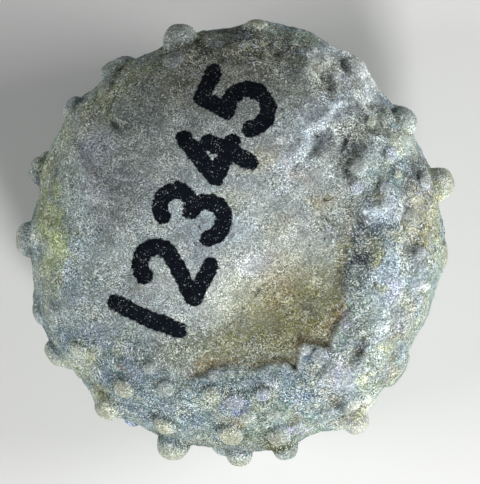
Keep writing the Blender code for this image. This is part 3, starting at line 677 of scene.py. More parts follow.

# %% Stains, each at its own place, two of them partly painted light
# Each is laid over the ones before it, so their order counts.
STAINS_AND_PAINTED_LIGHT = (
    # what it is on, across, up, length, width, bearing, softness, strength, colour
    ("both", -4.65, 0.40, 3.40, 0.62, 96, 0.6, 0.80, (178, 192, 132)),
    ("both", -4.15, -0.95, 0.90, 0.90, 0, 0.8, 0.50, (168, 186, 206)),
    ("both", -3.75, 2.95, 2.40, 0.80, 55, 0.6, 0.80, (150, 154, 110)),
    ("both", -3.45, 1.95, 2.40, 1.05, 104, 0.6, 0.75, (188, 194, 206)),
    ("both", -1.55, 5.20, 1.10, 0.90, 0, 0.7, 0.65, (132, 134, 106)),
    ("both", -2.90, 4.40, 1.30, 0.70, 35, 0.7, 0.60, (140, 144, 116)),
    ("both", -2.30, 4.05, 2.60, 0.90, 25, 0.6, 0.50, (130, 132, 108)),
    ("both", -2.10, 3.05, 3.00, 1.40, 35, 0.8, 0.45, (118, 124, 114)),
    ("both", 0.10, 4.90, 3.60, 1.00, 0, 0.6, 0.80, (88, 88, 66)),
    ("both", -0.40, 3.90, 3.60, 1.20, 0, 0.7, 0.50, (126, 122, 104)),
    ("both", 2.75, 3.80, 1.90, 1.50, 145, 0.8, 0.50, (194, 202, 196)),
    ("shell", -3.05, -2.90, 3.20, 1.80, -30, 0.7, 0.82, (82, 102, 114)),
    ("both", -1.60, -2.65, 1.40, 0.90, 20, 0.8, 0.75, (92, 98, 86)),
    ("both", -2.30, 1.45, 2.20, 1.70, 60, 0.8, 0.55, (116, 126, 122)),
    ("both", 0.30, 4.10, 4.40, 1.60, 0, 0.8, 0.50, (98, 96, 78)),
    ("both", 0.10, 3.20, 1.20, 0.80, 0, 0.8, 0.50, (98, 102, 101)),
    ("both", 2.70, 2.40, 1.30, 0.90, 0, 0.8, 0.50, (104, 112, 112)),
    ("shell", 4.40, -0.05, 1.30, 0.90, 80, 0.8, 0.85, (100, 102, 78)),
    ("both", -4.95, 1.20, 1.60, 0.50, 100, 0.8, 0.55, (112, 116, 104)),
    ("both", -5.00, -0.95, 0.90, 0.70, 0, 0.8, 0.50, (186, 192, 176)),
    ("both", -3.70, -1.75, 2.20, 0.90, 0, 0.8, 0.40, (180, 188, 184)),
    ("both", -2.65, 0.85, 2.20, 1.05, 10, 0.8, 0.68, (86, 95, 92)),
    ("both", -1.55, 1.65, 1.10, 0.90, 0, 0.8, 0.50, (110, 118, 108)),
    ("shell", 2.12, -3.20, 1.10, 0.66, 0, 0.8, 0.65, (102, 106, 86)),
    ("shell", -2.40, -4.30, 1.10, 0.60, 0, 0.8, 0.65, (88, 104, 112)),
    # Partly the knob's own cream green, partly painted light over the shadow that falls on the knob's upper
    # side.
    ("shell", -3.34, -3.90, 0.80, 0.50, -50, 0.7, 0.80, (182, 186, 146)),
    ("rock", -0.75, -0.85, 1.80, 1.40, 0, 0.8, 0.80, (224, 232, 226)),
    ("rock", 1.70, -1.65, 2.20, 1.70, 0, 0.8, 0.58, (102, 98, 60)),
    ("both", -0.75, 0.80, 0.70, 1.30, 0, 0.8, 0.60, (134, 152, 168)),
    ("both", 0.80, 0.70, 2.00, 2.00, 0, 0.8, 0.65, (210, 224, 222)),
    ("both", -0.80, -0.10, 0.90, 1.00, 0, 0.8, 0.70, (126, 142, 160)),
    ("both", 0.10, 1.65, 0.90, 0.90, 0, 0.8, 0.50, (152, 160, 158)),
    ("both", 1.85, 1.65, 0.90, 0.90, 0, 0.8, 0.45, (206, 218, 220)),
    ("both", -1.20, 0.70, 1.80, 1.10, 0, 0.8, 0.70, (184, 204, 214)),
    ("both", -4.10, 1.35, 2.30, 0.70, 100, 0.7, 0.65, (188, 204, 200)),
    ("both", -2.45, -0.10, 1.60, 0.80, 10, 0.8, 0.60, (176, 194, 194)),
    ("both", 3.60, 2.40, 1.10, 0.70, 0, 0.8, 0.40, (180, 190, 188)),
    ("both", 2.85, 4.25, 1.50, 1.20, -35, 0.8, 0.95, (244, 250, 252)),
    ("shell", -0.30, -4.35, 1.40, 0.70, 0, 0.8, 0.40, (108, 118, 108)),
    ("both", 2.50, 0.60, 1.30, 1.40, 0, 0.8, 0.55, (120, 128, 122)),
    ("both", 2.70, 3.80, 1.70, 1.10, 140, 0.8, 0.55, (176, 188, 188)),
    ("shell", 4.45, 2.60, 1.00, 0.90, 0, 0.8, 0.60, (196, 206, 200)),
    ("both", 2.70, -2.65, 1.00, 0.80, 0, 0.8, 0.65, (106, 120, 122)),
    ("shell", 1.00, -5.20, 1.50, 0.70, 0, 0.8, 0.95, (80, 84, 50)),
    ("shell", -0.70, -5.20, 1.80, 0.80, 0, 0.8, 0.80, (92, 102, 86)),
    ("shell", -4.00, -3.10, 1.20, 0.80, 40, 0.7, 0.60, (184, 190, 156)),
    ("shell", 0.50, -3.60, 3.10, 0.90, 2, 0.7, 0.84, (72, 92, 104)),
    ("both", 3.24, -0.10, 2.20, 1.25, 92, 0.7, 0.90, (50, 60, 62)),
    ("shell", 3.67, 0.86, 1.00, 0.64, 4, 0.7, 0.92, (206, 222, 232)),
    ("both", 3.86, -0.85, 1.50, 0.80, 78, 0.7, 0.80, (184, 202, 212)),
    ("shell", 4.00, -1.30, 0.70, 0.40, 60, 0.9, 0.50, (186, 182, 216)),
    ("both", 2.66, -0.30, 2.40, 0.40, 86, 0.7, 0.75, (104, 104, 74)),
    ("shell", 4.95, 0.90, 2.20, 0.60, 82, 0.8, 0.65, (174, 168, 122)),
    ("shell", 4.40, 0.85, 1.10, 0.70, 70, 0.9, 0.50, (176, 160, 136)),
    ("both", 2.13, 2.60, 0.75, 0.55, 20, 0.8, 0.55, (88, 98, 108)),
    ("both", 2.80, 2.50, 1.30, 0.80, 30, 0.7, 0.62, (104, 108, 104)),
    ("both", 2.15, 3.15, 1.80, 0.90, 42, 0.8, 0.70, (202, 216, 228)),
    ("both", 1.58, 2.35, 1.30, 0.40, 58, 0.7, 0.65, (202, 218, 226)),
    ("both", 4.12, 2.47, 1.10, 0.46, 45, 0.8, 0.60, (198, 210, 190)),
    ("both", 3.45, 2.85, 0.90, 0.46, -8, 0.7, 0.55, (96, 96, 74)),
    ("both", 2.35, 3.86, 0.60, 0.46, 0, 0.8, 0.60, (92, 86, 66)),
    ("both", 2.12, 4.40, 1.10, 0.50, -20, 0.8, 0.50, (176, 172, 146)),
    ("both", 3.50, 1.10, 0.60, 0.40, 0, 0.6, 0.70, (112, 106, 74)),
    ("both", 4.46, 1.70, 0.85, 0.50, 75, 0.6, 0.80, (82, 76, 62)),
    ("shell", 2.70, -3.40, 1.70, 0.90, 60, 0.7, 0.45, (168, 180, 176)),
    ("shell", 3.03, -2.66, 1.05, 0.56, 68, 0.7, 0.85, (86, 88, 68)),
    ("shell", 2.48, -4.02, 0.85, 0.52, 58, 0.7, 0.82, (88, 90, 74)),
    ("shell", 3.75, -2.35, 1.90, 0.90, 62, 0.7, 0.55, (166, 180, 178)),
    ("shell", 3.62, -2.15, 0.60, 0.40, 60, 0.8, 0.50, (216, 226, 228)),
    ("shell", 3.50, -1.75, 0.80, 0.60, 0, 0.8, 0.50, (142, 154, 148)),
    ("shell", 2.60, -3.32, 0.70, 0.44, 30, 0.8, 0.55, (208, 210, 230)),
    ("shell", 4.09, -2.28, 0.40, 0.28, 40, 0.8, 0.75, (112, 98, 68)),
    ("shell", 3.84, -3.20, 0.60, 0.36, 60, 0.8, 0.65, (140, 112, 86)),
    ("shell", 4.45, -1.90, 1.70, 0.60, 72, 0.8, 0.50, (126, 136, 124)),
    ("shell", 3.60, -3.45, 0.95, 0.85, 50, 0.8, 0.70, (128, 136, 112)),
    ("shell", 4.20, -1.90, 1.20, 0.50, 70, 0.9, 0.45, (164, 156, 128)),
    ("shell", 2.05, -2.80, 0.90, 0.44, 0, 0.7, 0.75, (88, 108, 138)),
    # Partly the knob's own cream, partly painted light: this near-white patch brightens the knob where the
    # lamps leave it in shade.
    ("shell", 3.14, -4.50, 1.00, 0.70, 30, 0.7, 0.95, (250, 248, 226)),
    ("shell", 2.90, -3.35, 0.60, 0.40, 20, 0.9, 0.55, (170, 178, 204)),
    ("shell", 0.00, -4.15, 0.60, 0.35, 10, 0.6, 0.70, (150, 164, 206)),
    ("shell", 0.05, -4.50, 0.50, 0.30, 0, 0.6, 0.70, (134, 124, 84)),
    ("shell", 1.50, -4.38, 0.50, 0.28, 0, 0.9, 0.55, (134, 116, 82)),
    ("shell", 1.45, -4.66, 0.50, 0.30, 0, 0.6, 0.70, (170, 166, 204)),
    ("rock", -1.00, 0.60, 6.00, 3.60, 66, 0.6, 0.50, (158, 168, 170)),
    ("rock", 0.60, -1.20, 2.60, 1.80, 30, 0.7, 0.55, (186, 188, 168)),
    ("rock", 1.10, -0.85, 1.20, 1.00, 0, 0.8, 0.45, (184, 172, 152)),
    ("rock", 0.40, -2.60, 3.40, 1.00, 4, 0.7, 0.82, (94, 95, 56)),
    ("rock", 1.80, -1.90, 1.80, 1.30, 40, 0.7, 0.70, (112, 112, 82)),
    ("rock", -0.90, -3.10, 0.90, 0.36, 25, 0.6, 0.60, (126, 108, 66)),
    ("rock", 2.50, -1.85, 0.60, 0.34, 55, 0.9, 0.60, (132, 102, 62)),
    ("rock", 2.15, -2.25, 0.70, 0.45, 40, 0.9, 0.50, (142, 122, 78)),
    ("rock", 1.20, -1.10, 0.50, 0.36, 0, 0.8, 0.45, (176, 138, 118)),
    ("rock", 0.98, -1.60, 0.40, 0.30, 0, 0.8, 0.40, (160, 108, 84)),
    ("rock", 1.80, 0.50, 2.20, 1.80, 0, 0.8, 0.40, (164, 170, 162)),
    ("rock", 1.36, 1.92, 1.10, 0.24, 74, 0.7, 0.65, (216, 220, 232)),
    ("rock", 1.08, 1.88, 0.50, 0.32, 0, 0.7, 0.60, (212, 222, 230)),
    ("rock", 1.00, 1.17, 0.60, 0.26, 10, 0.7, 0.55, (208, 220, 230)),
    ("rock", -0.15, 0.45, 1.20, 0.40, -14, 0.7, 0.60, (206, 222, 232)),
    ("rock", 0.40, -0.53, 0.80, 0.55, 0, 0.8, 0.50, (212, 216, 230)),
    ("rock", 0.60, 2.08, 1.00, 0.55, 10, 0.8, 0.50, (168, 160, 128)),
    ("rock", 1.65, 1.66, 0.70, 0.40, 0, 0.8, 0.40, (178, 160, 148)),
    ("rock", 2.12, 1.06, 0.60, 0.40, 20, 0.8, 0.55, (154, 142, 108)),
    ("rock", -0.15, 1.05, 0.70, 0.50, 0, 0.8, 0.40, (168, 166, 134)),
    ("rock", 1.10, 0.30, 0.90, 0.60, 30, 0.8, 0.45, (170, 164, 136)),
)

# Spots no bigger than a granule
SPOTS = (
    # across, up, size, colour
    (-5.08, 0.03, 0.26, (236, 238, 226)), (1.62, -2.64, 0.30, (244, 248, 240)),
    (4.83, 1.43, 0.26, (178, 172, 220)), (4.68, -1.16, 0.26, (242, 242, 232)),
    (3.66, -1.30, 0.20, (188, 194, 140)), (3.48, -0.38, 0.20, (192, 196, 142)),
    (3.72, -2.58, 0.26, (182, 190, 150)), (3.18, -3.50, 0.30, (184, 192, 152)),
    (2.78, -1.97, 0.26, (186, 176, 214)), (3.17, -4.43, 0.28, (204, 208, 92)),
    (3.12, -4.26, 0.22, (250, 250, 240)), (-2.70, -3.18, 0.20, (136, 112, 96)),
    (-0.55, -3.35, 0.20, (222, 226, 220)), (0.90, -3.45, 0.22, (214, 222, 226)),
    (4.70, -1.10, 0.24, (232, 238, 240)), (2.05, 0.80, 0.16, (232, 234, 226)),
    (-1.18, 3.98, 0.28, (84, 86, 74)), (-2.75, 2.90, 0.30, (82, 84, 74)),
)
SPOT_STRENGTH, SPOT_SOFTNESS = 0.75, 0.8
# In mm: size of the bends in a stain's edge, and how far they stray.
STAIN_RAGGED = ((0.50, 0.22), (0.24, 0.14), (0.12, 0.09))
STAIN_SEED = 5  # of the noise that bends the edges
STAINS_END = 0.9  # mm below the widest level
STAINS_FADE = 1.3  # mm above that end, where they are in full strength
print("stains:", len(STAINS_AND_PAINTED_LIGHT), "spots:", len(SPOTS))


# %% Lay the stains over one another
def strayed(points):
    """Where each point is in mm, moved a little to and fro, so that a stain's edge is ragged."""
    place = points / MM
    noise.seed_set(STAIN_SEED)  # without it this noise starts from the clock, and differs on every run
    for size, stray in STAIN_RAGGED:
        place = place + stray * np.array([noise.noise_vector(Vector(p)) for p in points / (size * MM)])
    return place


def stain_mask(place, across, up, length, width, bearing, soft):
    """1 inside an oval seen from above and 0 outside it, with a soft edge."""
    turn = np.radians(bearing)
    x, y = place[:, 0] - across, place[:, 1] - up
    along = (x * np.cos(turn) + y * np.sin(turn)) / (0.5 * length)
    aside = (y * np.cos(turn) - x * np.sin(turn)) / (0.5 * width)
    return smooth((1.0 + soft - np.hypot(along, aside)) / (2.0 * soft))


def all_stains_and_painted_light(place):
    """Each stain's share at every point, and its colour."""
    upper = smooth((place[:, 2] + STAINS_END) / STAINS_FADE)
    kept = {"both": upper, "rock": upper * notes["filling"], "shell": upper * (1.0 - notes["filling"])}
    for where, *oval_sizes, strength, colour in STAINS_AND_PAINTED_LIGHT:
        yield strength * kept[where] * stain_mask(place, *oval_sizes), colour
    for across, up, size, colour in SPOTS:
        yield SPOT_STRENGTH * upper * stain_mask(place, across, up, size, size, 0.0, SPOT_SOFTNESS), colour


cover, mixed = np.zeros(len(points)), np.zeros((len(points), 3))
for share, colour in all_stains_and_painted_light(strayed(points)):
    cover = cover + share * (1.0 - cover)
    mixed += share[:, None] * (np.array(srgb(*colour)[:3]) - mixed)
notes["stain_and_light_cover"] = cover
stain_and_light_colour = mixed / np.maximum(cover, 1e-6)[:, None]
stain_and_light_note = fossil_mesh.attributes.new("stain_and_light", "FLOAT_VECTOR", "POINT")
stain_and_light_note.data.foreach_set("vector", stain_and_light_colour.astype(np.float32).ravel())
print("share of the points under stains:", np.mean(cover > 0.5))

# %% [markdown]
# ## Hollows that hold dirt
# The hollows are made darker and wear lightens what stands out. Both come from one number at each point: how
# far it lies below the average of the surface round it. The average is found by smoothing a copy of the
# points.

# %% Measure hollows and ridges
HOLLOW_ROUNDS, PIT_ROUNDS = 24, 4  # more rounds of smoothing show broader hollows


def smoothed(points, edges, rounds):
    """The points after each has moved halfway to the middle of its neighbours, this many times."""
    count = np.bincount(edges.ravel(), minlength=len(points)).astype(float)[:, None]
    for _ in range(rounds):
        total = np.zeros_like(points)
        for axis in range(3):
            total[:, axis] = np.bincount(edges[:, 0], points[edges[:, 1], axis], len(points))
            total[:, axis] += np.bincount(edges[:, 1], points[edges[:, 0], axis], len(points))
        points = 0.5 * points + 0.5 * total / count
    return points


edges = np.empty(len(fossil_mesh.edges) * 2, np.int64)
fossil_mesh.edges.foreach_get("vertices", edges)
edges = edges.reshape(-1, 2)
normals = np.empty(len(points) * 3)
fossil_mesh.vertices.foreach_get("normal", normals)
normals = normals.reshape(-1, 3)
for name, rounds in (("hollow", HOLLOW_ROUNDS), ("pit", PIT_ROUNDS)):
    notes[name] = np.einsum("ij,ij->i", smoothed(placed, edges, rounds) - placed, normals) / MM
for name, values in notes.items():
    fossil_mesh.attributes.new(name, "FLOAT", "POINT").data.foreach_set("value", values.astype(np.float32))
print("deepest hollow and highest ridge, mm:", notes["hollow"].max(), notes["hollow"].min())

# %% [markdown]
# ## Material sums written as Python
#
# A material is a web of small nodes, and a sum written as nodes is hard to read. A thin wrapper round a
# node's output lets ordinary operators add the Math nodes, so a mask can be written as `1 - ink * 0.9`.
# Everything that isn't plain arithmetic goes through one function that makes any node.


# %% A wrapper for sockets
class Wire:
    """A node's output, which can be used in sums with numbers and with other wires."""

    def __init__(self, socket):
        self.socket = socket

    def math(self, operation, *others):
        """A Math node's result, with this number as its first one."""
        return node("ShaderNodeMath", {"operation": operation}, dict(enumerate((self, *others))))

    def __add__(self, other):
        return self.math("ADD", other)

    __radd__ = __add__

    def __sub__(self, other):
        return self.math("SUBTRACT", other)

    def __rsub__(self, other):
        return node("ShaderNodeMath", {"operation": "SUBTRACT"}, {0: other, 1: self})

    def __mul__(self, other):
        return self.math("MULTIPLY", other)

    __rmul__ = __mul__

    def limited(self):
        """The number kept between 0 and 1."""
        return node("ShaderNodeClamp", {}, {0: self})


tree = None  # the nodes of the material in hand


def node(kind, settings, inputs, output=0):
    """Makes a node in the current material: its settings first, then its sockets' values or links."""
    made = tree.nodes.new(kind)
    for name, value in settings.items():
        setattr(made, name, value)
    for name, value in inputs.items():
        if isinstance(value, Wire):
            tree.links.new(value.socket, made.inputs[name])
        else:
            made.inputs[name].default_value = value
    return Wire(made.outputs[output]) if made.outputs else made


# %% Small tools for masks and colours
def attribute(name):
    """A number that was noted at the mesh's points."""
    return node("ShaderNodeAttribute", {"attribute_name": name}, {}, output=2)


def between(value, low, high):
    """0 below low, 1 above high and a smooth step between, or the other way round."""
    return node("ShaderNodeMapRange", {"interpolation_type": "SMOOTHSTEP"}, {0: value, 1: low, 2: high})


def swing(value, most):
    """A number from 0 to 1, turned into one that swings about zero. The whole swing is this long."""
    return (value - 0.5) * most


def noise_at(place, per_mm, detail, roughness=0.5):
    """Cloudy unevenness from 0 to 1, with this many swells to the mm."""
    kind = {"Vector": place, "Scale": per_mm, "Detail": detail, "Roughness": roughness}
    return node("ShaderNodeTexNoise", {}, kind)


def blended(share, a, b):
    """Colour a, moved towards colour b by a share."""
    return node("ShaderNodeMix", {"data_type": "RGBA"}, {0: share, 6: a, 7: b}, output=2)


def shaded(colour, amount):
    """A colour times a number, through Vector Math."""
    return node("ShaderNodeVectorMath", {"operation": "SCALE"}, {0: colour, 3: amount})


def tinted(base, *tints):
    """A colour with tints laid over it. Each tint is the number it follows, where it begins, where it is
    full, its strength and its colour as on a screen."""
    for value, begins, full, strength, colour in tints:
        base = blended(between(value, begins, full) * strength, base, srgb(*colour))
    return base


# %% [markdown]
# ## The stone
#
# The shell is grey-green and grey-blue, and the rock is a warmer beige-grey that turns olive brown where it
# has sunk. Flat colours would look painted, so each is mixed from tints that follow noise of several sizes,
# and the stains that were stored at the points come over them. All sizes are in the fossil's own mm.

# %% Start the material and its coordinates
stone = bpy.data.materials.new("fossil_stone_weathered")
stone.use_nodes = True
tree = stone.node_tree
tree.nodes.clear()
own_place = node("ShaderNodeTexCoord", {}, {}, output=3)
place = node("ShaderNodeMapping", {}, {"Vector": own_place, 1: tuple(-shift / MM), 3: (1 / MM,) * 3})
WARP_PER_MM = 2.2
WARP_REACH = (0.9, 0.9, 0.9)
clouds = node("ShaderNodeTexNoise", {}, {"Vector": place, "Scale": WARP_PER_MM, "Detail": 3.0}, output=1)
warp = node("ShaderNodeVectorMath", {"operation": "SUBTRACT"}, {0: clouds, 1: (0.5, 0.5, 0.5)})
warped = node("ShaderNodeVectorMath", {"operation": "MULTIPLY_ADD"}, {0: warp, 1: WARP_REACH, 2: place})
print("nodes so far:", len(tree.nodes))

# %% Noise of several sizes, from swells of more than a millimetre to single grains
broad = noise_at(place, 0.6, 3.0)
middle = noise_at(place, 1.7, 3.0, 0.6)
small = noise_at(warped, 3.4, 3.0, 0.65)
fine = noise_at(place, 8.0, 4.0, 0.7)
finest = noise_at(place, 40.0, 2.0, 0.8)
print("nodes so far:", len(tree.nodes))

# %% Broad tints of the shell and the rock
# A tint: the number it follows, where it begins, where it is full, its strength, its colour.
shell = tinted(
    blended(between(broad, 0.40, 0.60), srgb(118, 143, 151), srgb(136, 156, 143)),
    (middle, 0.54, 0.66, 0.5, (144, 158, 182)),
    (small, 0.56, 0.68, 0.4, (170, 176, 140)),
    (small, 0.44, 0.34, 0.4, (94, 104, 110)),
)
rock = tinted(
    blended(between(middle, 0.38, 0.62), srgb(144, 154, 151), srgb(163, 175, 173)),
    (broad, 0.54, 0.66, 0.4, (158, 162, 178)),
    (small, 0.56, 0.70, 0.3, (186, 192, 190)),
)
filling = attribute("filling")
base = blended(filling, shell, rock)
print("nodes so far:", len(tree.nodes))

# %% Stains, the sunken rock and patches
cover, broken = attribute("stain_and_light_cover"), attribute("broken")
stain_and_light = node("ShaderNodeAttribute", {"attribute_name": "stain_and_light"}, {})
# The stains, with the two patches of painted light among them.
base = blended((cover * (1.0 + swing(fine, 1.2))).limited(), base, stain_and_light)
sunken = between(attribute("sunken"), 0.10, 0.9) * filling
base = blended(sunken * 0.62, base, srgb(114, 112, 62))
rock_patches = filling * 0.30
base = tinted(
    base,
    (small, 0.54, 0.64, rock_patches, (178, 178, 156)),
    (small, 0.46, 0.36, rock_patches, (116, 122, 114)),
)
mottle = swing(noise_at(warped, 1.5, 2.0, 0.6), 2.0) + swing(noise_at(warped, 4.0, 2.0, 0.6), 1.1)
base = shaded(base, 1.0 + mottle * (0.30 + broken * 0.55))
hue = noise_at(place, 1.6, 3.0, 0.6)
hue_share = 0.40 - filling * 0.30
base = tinted(
    base,
    (hue, 0.52, 0.64, hue_share, (166, 168, 136)),
    (hue, 0.48, 0.36, hue_share, (140, 156, 176)),
)
print("nodes so far:", len(tree.nodes))

# %% [markdown]
# ## Knobs, the broken edge, painted shade, darker hollows and wear
#
# The knobs' heads are smoother than the rest, cream, grey or lilac blue. Rust follows the broken edge on the
# filling's side, painted light enough to lift the edge's shadow, and a pale crust follows it on the shell's
# side.
# Painted shade and dirt darken the knobs' feet, the hollows are made darker, and whatever stands out is
# rubbed pale. These places could be painted by hand, but the points already hold notes of them, so the masks
# follow the relief.

# %% Knobs
head, foot, tint = attribute("head"), attribute("foot"), attribute("tint")
knob = blended(between(tint, -0.9, -0.1), srgb(160, 170, 198), srgb(158, 166, 150))
knob = blended(between(tint, 0.0, 0.9), knob, srgb(192, 190, 148))
knob = blended(between(tint, -0.84, -0.96), knob, srgb(112, 124, 208))
knob = blended(between(middle, 0.56, 0.44) * 0.5, knob, srgb(140, 138, 110))
base = blended(between(head, 0.0, 0.5) * (0.35 + tint.math("ABSOLUTE") * 0.50), base, knob)
# Painted shade and dirt: a dark ring round each knob's foot, where it meets the shell.
base = blended(between(foot, 0.2, 1.0) * between(small, 0.56, 0.46) * 0.30, base, srgb(92, 94, 74))
base = blended(attribute("boss") * between(broad, 0.50, 0.56) * 0.45, base, srgb(96, 92, 74))
print("nodes so far:", len(tree.nodes))

# %% Broken edge, darker hollows and wear
hollow, pit = attribute("hollow"), attribute("pit")
ledge = attribute("ledge") + swing(fine, 0.9)
# Rust on the filling's side of the broken edge, painted lighter than rust so that it also lifts the shadow
# that the edge casts there: partly rust, partly painted light. It also holds the darkening of the hollows
# back there.
rust_and_painted_light = between(ledge, 0.20, 0.60)
rust_and_painted_light_colour = blended(between(small, 0.44, 0.56), srgb(136, 118, 78), srgb(184, 170, 128))
base = blended(rust_and_painted_light * 0.50, base, rust_and_painted_light_colour)
crust = between(ledge, -0.35, -0.65)
base = blended(crust * 0.50, base, srgb(184, 188, 172))
# The hollows and pits are made darker, in an olive grey.
hollow_darkening = between(hollow, 0.01, 0.09) + between(pit, 0.003, 0.02) * 0.7
base = blended(hollow_darkening.limited() * (0.50 - rust_and_painted_light * 0.45), base, srgb(88, 88, 68))
wear = between(hollow, -0.01, -0.08) * 0.30 + attribute("granule") * 0.12
wear = wear + between(pit, -0.004, -0.016) * 0.25
base = blended((wear * (1.0 - head * 0.75)).limited(), base, srgb(196, 208, 208))
print("nodes so far:", len(tree.nodes))

# %% [markdown]
# ## Grains
#
# Close up, the stone is made of tiny crystals: bright ones like sugar, grey crumbs and dark pores between
# them. Noise alone gives soft clouds. A pattern of cells gives crumbs with sharp edges, because each cell has
# one random number all over. The sum of them goes through an exponent before it shades the colour, so the
# bright grains flash more than the dark ones darken, as on real stone.

# %% Cells and specks
SPECK_SOFTNESS = 0.08  # of a speck's edge, in cells
CHOICE_STEP = 0.01  # how sharply the cells that hold a speck are told from the others


def cells(place, per_mm, channel):
    """An even random number in each cell of a pattern. Each channel gives another one for the same cell."""
    colour = node("ShaderNodeTexVoronoi", {}, {"Vector": place, "Scale": per_mm}, output=1)
    return node("ShaderNodeSeparateColor", {}, {0: colour}, output=channel)


def specks(per_mm, share, size):
    """A mask of single round grains, in a share of the cells of a pattern. The size is a share of a cell."""
    away = node("ShaderNodeTexVoronoi", {}, {"Vector": warped, "Scale": per_mm})
    chosen = between(cells(warped, per_mm, 1), 1.0 - share - CHOICE_STEP, 1.0 - share + CHOICE_STEP)
    return chosen * between(away, 0.5 * size + SPECK_SOFTNESS, 0.5 * size - SPECK_SOFTNESS)


# %% Crumbs
cell_light = cells(warped, 12.0, 0)
crumb_light = cells(place, 42.0, 0)
patches = between(middle, 0.40, 0.60)  # sugary stone between smooth, muddy patches
rough_share = 0.65 + broken * 0.20 + (1.0 - filling) * 0.30
rough_share = rough_share * (0.64 + patches * 0.68) * (1.0 - head * 0.45)
grain = swing(cell_light, 0.22) + (fine - 0.5) * (1.1 - filling * 0.6)
grain = grain + swing(finest, 3.8) + swing(crumb_light, 2.4)
contrast = rough_share * (0.80 + filling * 0.10)
base = shaded(base, (grain * contrast).math("EXPONENT") * (0.84 + filling * 0.04))
print("nodes so far:", len(tree.nodes))

# %% White grains and dark pores
sugar = noise_at(place, 25.0, 2.0, 0.7) + swing(small, 0.30)
white_grains = specks(24.0, 0.40, 0.80) + specks(9.0, 0.07, 0.46) + between(sugar, 0.60, 0.68) * 0.4
white_grains = white_grains.limited()
white_share = 0.76 + patches * 0.20 - filling * 0.08 - sunken * 0.34
base = blended(white_grains * white_share, base, srgb(246, 250, 250))
soot = noise_at(warped, 21.0, 2.0, 0.7) + swing(small, 0.40)
dark_pores = specks(22.0, 0.22, 0.74) * (1.0 - filling * 0.5)
dark_pores = (dark_pores + between(soot, 0.38, 0.32) * (1.0 - filling * 0.6)).limited()
dark_share = (0.54 + patches * 0.18 - filling * 0.10 + sunken * 0.24) * (1.0 - head * 0.60)
base = blended(dark_pores * dark_share, base, srgb(38, 44, 42))
print("nodes so far:", len(tree.nodes))

# %% Tiny pits and cracks in the filling
pore_spacing = node("ShaderNodeTexVoronoi", {}, {"Vector": warped, "Scale": 1.7})
tiny_pits = between(pore_spacing, 0.10, 0.06) * filling
crack_edge = attribute("crack_distance") + swing(fine, 0.16)
cracks = between(crack_edge, 0.060, 0.005) * between(middle, 0.44, 0.56)
base = blended((tiny_pits + cracks * 0.5).limited() * 0.85, base, srgb(58, 54, 40))
print("nodes so far:", len(tree.nodes))

# %% [markdown]
# ## Ink and the finished shader
#
# The ink is black, dull and ragged at its edges, because it ran between the grains, and some light grains
# show through it. It comes last, over everything else. The stone hardly shines, and the grains, pits and
# cracks also bend the light a little, through a bump.

# %% Ink
PEN_SOFTNESS = 0.02  # mm
ink_edge = attribute("ink_distance") + swing(fine, 0.17) + swing(small, 0.12)
ink = between(ink_edge, PEN_WIDTH / 2 + PEN_SOFTNESS, PEN_WIDTH / 2 - PEN_SOFTNESS)
ink = ink * (1.0 - between(sugar, 0.64, 0.70) * 0.75)
base = blended(ink, base, blended(fine, srgb(0, 1, 4), srgb(26, 32, 42)))
print("nodes so far:", len(tree.nodes))

# %% The shader itself
BUMP_HEIGHT = 0.12 * MM
STONE_SPECULAR = 0.02
relief = fine * 0.45 + finest * 0.30 + cell_light * 0.16 + crumb_light * 0.14
relief = relief - tiny_pits * 0.8 - cracks * 0.3
bump = node("ShaderNodeBump", {}, {"Strength": 1.0, "Distance": BUMP_HEIGHT, "Height": relief})
roughness = 0.80 - ink * 0.15 - white_grains * 0.20
surface = node("ShaderNodeBsdfPrincipled", {}, {
    "Base Color": base, "Roughness": roughness, "Normal": bump, "Specular IOR Level": STONE_SPECULAR})
node("ShaderNodeOutputMaterial", {}, {"Surface": surface})
print("nodes in the stone:", len(tree.nodes))

# %% [markdown]
# ## Put the piece in the imported model
#
# The new surface stands for the imported solid, rides on its body and carries the stone material.

# %% Add the piece
fossil = bpy.data.objects.new("fossil_urchin_surface", fossil_mesh)
bpy.context.scene.collection.objects.link(fossil)
fossil_mesh.materials.append(stone)
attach(fossil, "root")
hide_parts(NODE)
print("piece:", fossil.name, "squares:", len(fossil_mesh.polygons), "in the place of", NODE)

# %% [markdown]
# ## Floor, light and camera
#
# The fossil lies on a plain pale floor and is seen from straight above through a very long lens, so that
# hardly anything is foreshortened. A soft lamp at the lower right gives most of the light. Two weaker ones,
# at the left and the right, keep the shadows open, and a pale sky fills the rest.

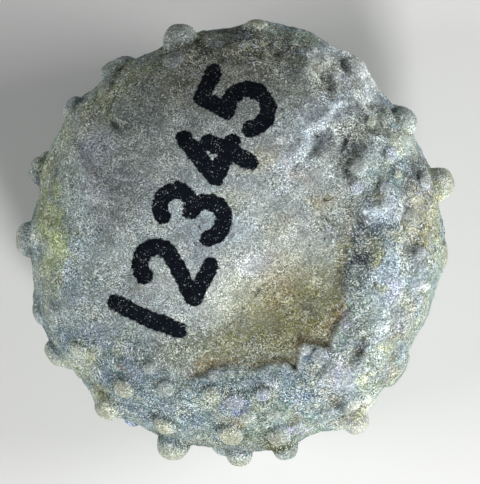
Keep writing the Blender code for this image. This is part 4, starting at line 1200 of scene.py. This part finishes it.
# %% Floor
FLOOR_HALF = 0.6
FLOOR_ROUGHNESS = 0.9
FLOOR_CORNERS = ((-1, -1), (1, -1), (1, 1), (-1, 1))
floor_mesh = bpy.data.meshes.new("floor")
floor_mesh.from_pydata([(x * FLOOR_HALF, y * FLOOR_HALF, 0.0) for x, y in FLOOR_CORNERS], [], [(0, 1, 2, 3)])
floor = bpy.data.objects.new("floor", floor_mesh)
bpy.context.scene.collection.objects.link(floor)
pale = bpy.data.materials.new("pale_floor")
pale.use_nodes = True
pale_sockets = pale.node_tree.nodes["Principled BSDF"].inputs
pale_sockets["Base Color"].default_value = srgb(214, 214, 212)
pale_sockets["Roughness"].default_value = FLOOR_ROUGHNESS
floor_mesh.materials.append(pale)
print("floor, m across:", 2.0 * FLOOR_HALF)


# %% Lamps and sky
# Each lamp: its name, place and size in m, and its watts.
LAMPS = (
    ("key_lamp", (0.040, -0.108, 0.056), 0.035, 0.205),
    ("left_lamp", (-0.105, -0.020, 0.050), 0.060, 0.09),
    ("right_lamp", (0.105, 0.010, 0.040), 0.050, 0.13),
)
SKY_COLOUR = (0.90, 0.95, 1.0, 1.0)
SKY_STRENGTH = 0.09


def soft_lamp(name, place, size, watts):
    """A square lamp that points at the middle of the floor."""
    data = bpy.data.lights.new(name, "AREA")
    data.size, data.energy = size, watts
    lamp = bpy.data.objects.new(name, data)
    lamp.location = place
    lamp.rotation_euler = (-Vector(place)).to_track_quat("-Z", "Y").to_euler()
    bpy.context.scene.collection.objects.link(lamp)


for lamp_row in LAMPS:
    soft_lamp(*lamp_row)
world = bpy.data.worlds.new("pale_sky")
world.use_nodes = True
sky_sockets = world.node_tree.nodes["Background"].inputs
sky_sockets["Color"].default_value = SKY_COLOUR
sky_sockets["Strength"].default_value = SKY_STRENGTH
bpy.context.scene.world = world
bpy.context.scene.view_settings.view_transform = "Standard"
print("lamps:", len(LAMPS))

# %% Camera
VIEW_ROWS, ROWS_PER_MM = 484, 39.6
SHOWN_HEIGHT = VIEW_ROWS / ROWS_PER_MM * MM  # of the whole view, at the fossil's widest level
SHOWN_CENTRE = (0.10 * MM, 0.0)
CAMERA_HEIGHT = 0.200
SENSOR = 36.0  # mm, along the view's longer side
camera_data = bpy.data.cameras.new("camera")
camera_data.sensor_width = SENSOR
camera_data.lens = SENSOR * CAMERA_HEIGHT / SHOWN_HEIGHT
camera_data.clip_start = 0.001
camera = bpy.data.objects.new("camera", camera_data)
camera.location = (SHOWN_CENTRE[0] + shift[0], SHOWN_CENTRE[1] + shift[1], CAMERA_HEIGHT + shift[2])
bpy.context.scene.collection.objects.link(camera)
bpy.context.scene.camera = camera
print("lens, mm:", camera_data.lens)
